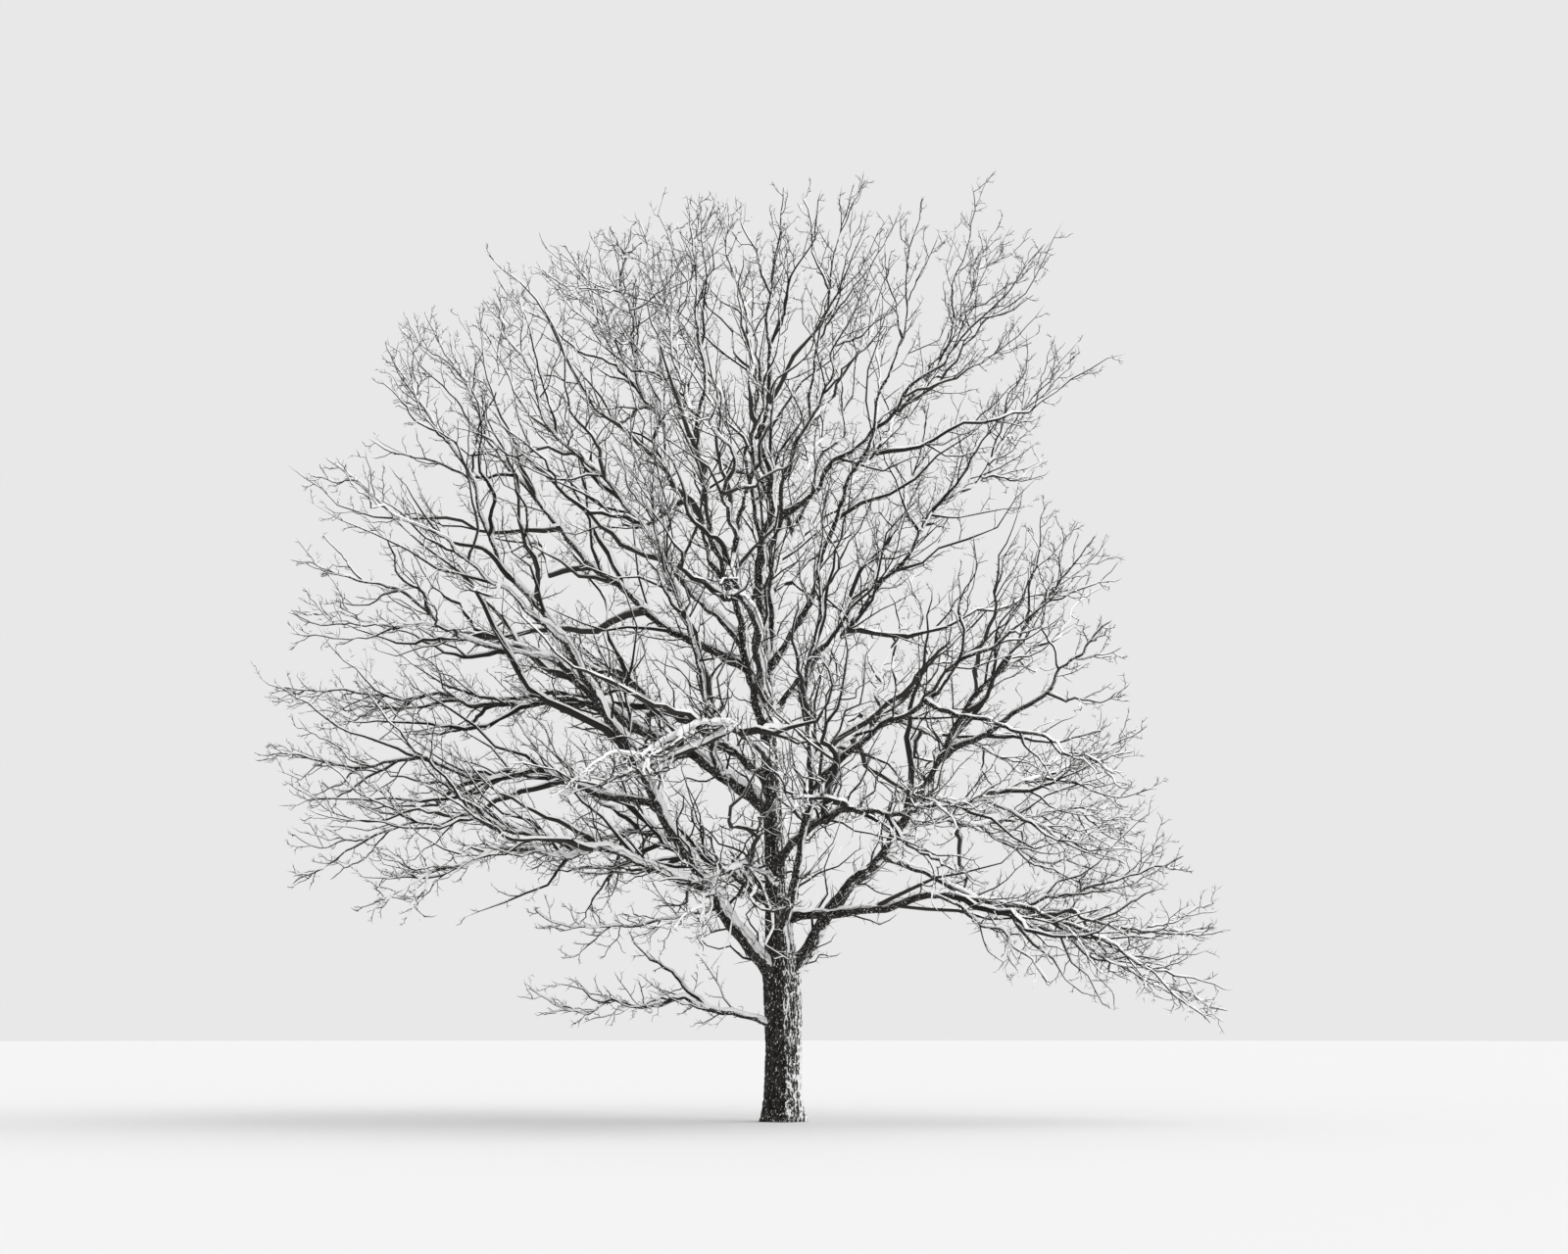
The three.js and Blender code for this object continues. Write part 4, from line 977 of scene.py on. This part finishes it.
def grow():
    """Every level of the tree, from limbs to the finest tips."""
    def grown(kind, parents, rule, clear=True):
        kept = FINE_FULL if kind in ("branches", "sprays") else TWIGS_FULL
        level = show(thinned(shoots(parents, rule), kept), parents, kind)
        return clear_of_wood(level) if clear else level

    def on_some(names, kind, rule):
        carriers = chosen(limbs, np.array([line["name"] in names for line in ALL]))
        return show(shoots(carriers, rule), carriers, kind)

    show_limbs()
    limbs = level_of(ALL, "shown", "thick")
    forks, fork_sprays = grow_forks()
    forks = show(forks, limbs, "forks")
    fork_sprays = show(thinned(fork_sprays, FINE_FULL, SOLID_SPRAY), forks, "sprays")
    branches = joined([grown("branches", level, BRANCHES) for level in (limbs, forks)])
    sprays = joined([fork_sprays, grown("sprays", limbs, SPRAYS)])
    hangers = on_some(HUNG_WITH, "hangers", HANGERS)
    share = np.linspace(0, 1, hangers["shown"].shape[1])
    hangers["shown"][..., 2] += HOOK * hangers["length"][:, None] * share ** HOOK_BEND
    hangers = clear_of_wood(hangers)
    risers = clear_of_wood(on_some(RISE_FROM, "risers", RISERS))
    side_sprays = grown("side_sprays", branches, SIDE_SPRAYS)
    twigs = grown("twigs", sprays, TWIGS)
    side_twigs = joined([
        grown("side_twigs", level, SIDE_TWIGS, clear=False) for level in (side_sprays, hangers, risers)])
    side_sprays = joined([side_sprays, grown("side_sprays", risers, SIDE_SPRAYS)])
    tips = joined([grown("tips", level, TIPS, clear=False) for level in (twigs, sprays, side_sprays)])
    old_wood = shoots(limbs, SPROUTS)
    old_wood = show(chosen(old_wood, old_wood["share"] < OLD_WOOD_TO), limbs, "sprouts")
    sprouts = joined([old_wood, grown("sprouts", trunk_level(), TRUNK_SPROUTS, clear=False)])
    sprout_twigs = grown("sprout_twigs", sprouts, SIDE_TWIGS, clear=False)
    return dict(
        limbs=limbs, forks=forks, branches=branches, sprays=sprays, side_sprays=side_sprays, twigs=twigs,
        side_twigs=side_twigs, tips=tips, sprouts=sprouts, sprout_twigs=sprout_twigs, hangers=hangers,
        risers=risers)


# Materials

SNOW_COLOUR = (0.93, 0.93, 0.93)
OLD_DARK, OLD_LIGHT = (0.008, 0.0075, 0.007), (0.045, 0.042, 0.038)
YOUNG_DARK, YOUNG_LIGHT = (0.01, 0.009, 0.0085), (0.05, 0.046, 0.042)
TWIG_COLOURS = [(0.026, 0.024, 0.022), (0.040, 0.037, 0.033), (0.018, 0.017, 0.016)]
FLOOR_COLOUR = (0.71, 0.71, 0.71)
OLD_STRETCH, YOUNG_STRETCH = 3.2, 2.2
DULL, TWIG_DULL, SNOW_DULL = 0.9, 0.85, 0.7
SHINE = 0.2
# Sizes of the spots in the bark's material, and the detail of their noise.
GRAIN_SPOTS, FINE_SPOTS, FLECKS, STUCK_FLAKES = (0.03, 3), (0.012, 4), (0.011, 2), (0.017, 1)
NOISE_MEAN = 0.5
GRAIN_SHARE, SHADE_FROM = 0.8, (-0.5, 0.6)
# Snow shows where what lies, what the furrows hold and the flecks together pass this, or where a flake
# sticks.
HELD_SHARE, HELD_FROM, FLECK_SHARE = -0.5, (0.05, 0.3), 0.9
SNOW_FROM, STUCK_FROM = (0.5, 0.6), (0.66, 0.7)
BUMP_STRENGTH, BUMP_HEIGHT = 0.5, 0.006


def plain(name, colour, roughness):
    material = bpy.data.materials.new(name)
    material.use_nodes = True
    shader = material.node_tree.nodes["Principled BSDF"]
    shader.inputs["Base Color"].default_value = (*colour, 1)
    shader.inputs["Roughness"].default_value = roughness
    shader.inputs["Specular IOR Level"].default_value = SHINE
    return material


def bark_material(name, dark, light, stretch):
    """Furrowed bark with snow on it, by the values kept on the mesh."""
    material = plain(name, light, DULL)
    nodes, links = material.node_tree.nodes, material.node_tree.links
    shader = nodes["Principled BSDF"]

    def add(kind, sockets, **settings):
        """The outputs of a new node, whose inputs get values or the outputs of other nodes."""
        node = nodes.new(kind)
        for key, value in settings.items():
            setattr(node, key, value)
        for key, value in sockets.items():
            if isinstance(value, bpy.types.NodeSocket):
                links.new(value, node.inputs[key])
            else:
                node.inputs[key].default_value = value
        return node.outputs

    def kept(attribute, output="Fac"):
        return add("ShaderNodeAttribute", {}, attribute_name=attribute)[output]

    def spots(size, detail):
        scale = (1 / size, 1 / size, 1 / (size * stretch))
        at = add("ShaderNodeMapping", {"Vector": kept("bark_at", "Vector"), "Scale": scale})["Vector"]
        return add("ShaderNodeTexNoise", {"Vector": at, "Scale": 1.0, "Detail": detail})["Fac"]

    def ramp(value, low, high):
        return add("ShaderNodeMapRange", {"Value": value, "From Min": low, "From Max": high},
                   interpolation_type="SMOOTHSTEP")["Result"]

    def maths(operation, first, second):
        return add("ShaderNodeMath", {0: first, 1: second}, operation=operation)["Value"]

    def mixed(amount, first, second):
        """Two colours mixed. The node's sockets for colours have the numbers 6, 7 and, for the result, 2."""
        return add("ShaderNodeMix", {0: amount, 6: first, 7: second}, data_type="RGBA")[2]

    cut, lying = kept("relief"), kept("snow")
    grain = spots(*GRAIN_SPOTS)
    shade = ramp(maths("ADD", cut, maths("MULTIPLY", grain, GRAIN_SHARE)), *SHADE_FROM)
    wood = mixed(shade, (*dark, 1), (*light, 1))
    held = maths("MULTIPLY", maths("MULTIPLY", cut, HELD_SHARE), ramp(lying, *HELD_FROM))
    flecks = maths("MULTIPLY", maths("SUBTRACT", spots(*FLECKS), NOISE_MEAN), FLECK_SHARE)
    amount = maths("ADD", maths("ADD", lying, held), flecks)
    snow = maths("MAXIMUM", ramp(amount, *SNOW_FROM), ramp(spots(*STUCK_FLAKES), *STUCK_FROM))
    links.new(mixed(snow, wood, (*SNOW_COLOUR, 1)), shader.inputs["Base Color"])
    height = maths("ADD", grain, spots(*FINE_SPOTS))
    bump = add("ShaderNodeBump", {"Strength": BUMP_STRENGTH, "Distance": BUMP_HEIGHT, "Height": height})
    links.new(bump["Normal"], shader.inputs["Normal"])
    return material


# The pieces

def make_tree():
    """Every piece of the tree: its trunk, the limbs and the fine wood of each mass, and the snow."""
    tree = grow()
    old_bark = bark_material("old bark", OLD_DARK, OLD_LIGHT, OLD_STRETCH)
    young_bark = bark_material("young bark", YOUNG_DARK, YOUNG_LIGHT, YOUNG_STRETCH)
    tints = [plain(f"twig {k + 1}", colour, TWIG_DULL) for k, colour in enumerate(TWIG_COLOURS)]
    snow = plain("snow", SNOW_COLOUR, SNOW_DULL)
    piece("trunk_bark", trunk_mesh(), "bark", [old_bark], ["trunk"])

    bodies = []
    for kind, (_, _, _, sides) in SHOWN.items():
        level = tree[kind]
        tint = (chance(level["seed"], TINT) * len(TWIG_COLOURS)).astype(int)
        bodies.append((*tubes(level["shown"], level["thick"], sides), tint, MASS[level["limb"]]))
    for mass in sorted(set(MASS)):
        name = ALL[mass]["name"]
        limbs = several([limb_mesh(line) for line in ALL if MASS[line["limb"]] == mass])
        replaced = [f"twigs_{name}"] + ([f"bough_{name}"] if ALL[mass]["bough"] else [])
        piece(f"limb_{name}", limbs, "bark", [young_bark], replaced)
        own = [
            many(group[owner == mass], pattern, tint[owner == mass])
            for group, pattern, tint, owner in bodies]
        piece(f"fine_{name}", several(own), "twigs", tints, [f"twigs_{name}"])

    for kind in SNOWED:
        piece(f"snow_{kind}", snow_on(kind, tree[kind]), "snow", [snow])


make_tree()

# Stage, light and camera

FLOOR_RADIUS, FLOOR_CORNERS = 300, 64
EYE_HEIGHT, VIEW_DISTANCE, VIEW_RISE = 1.564, 44.2, 8.96
LENS, SENSOR, SEEN_TO = 58.5, 36, 1000
SKY = 0.807
LIGHT_FROM, LIGHT_STRENGTH, LIGHT_WIDTH = (0.6, -0.02, 0.8), 1.9, 60

mesh = bpy.data.meshes.new("floor")
mesh.from_pydata((FLOOR_RADIUS * circle(FLOOR_CORNERS)).tolist(), [], [list(range(FLOOR_CORNERS))])
mesh.materials.append(plain("floor", FLOOR_COLOUR, DULL))
floor = placed("floor", mesh)

world = bpy.data.worlds.new("overcast")
world.use_nodes = True
world.node_tree.nodes["Background"].inputs["Color"].default_value = (SKY, SKY, SKY, 1)
bpy.context.scene.world = world

light = bpy.data.lights.new("soft sun", "SUN")
light.energy = LIGHT_STRENGTH
light.angle = math.radians(LIGHT_WIDTH)
sun = placed("soft sun", light)
sun.rotation_euler = Vector(LIGHT_FROM).to_track_quat("Z", "Y").to_euler()

camera_data = bpy.data.cameras.new("camera")
camera_data.lens = LENS
camera_data.sensor_fit = "HORIZONTAL"
camera_data.sensor_width = SENSOR
camera_data.clip_end = SEEN_TO
camera = placed("camera", camera_data)
camera.location = (0, -VIEW_DISTANCE, EYE_HEIGHT)
camera.rotation_euler = (math.radians(90 + VIEW_RISE), 0, 0)
bpy.context.scene.camera = camera
bpy.context.scene.view_settings.view_transform = "Standard"

bpy.context.view_layer.update()
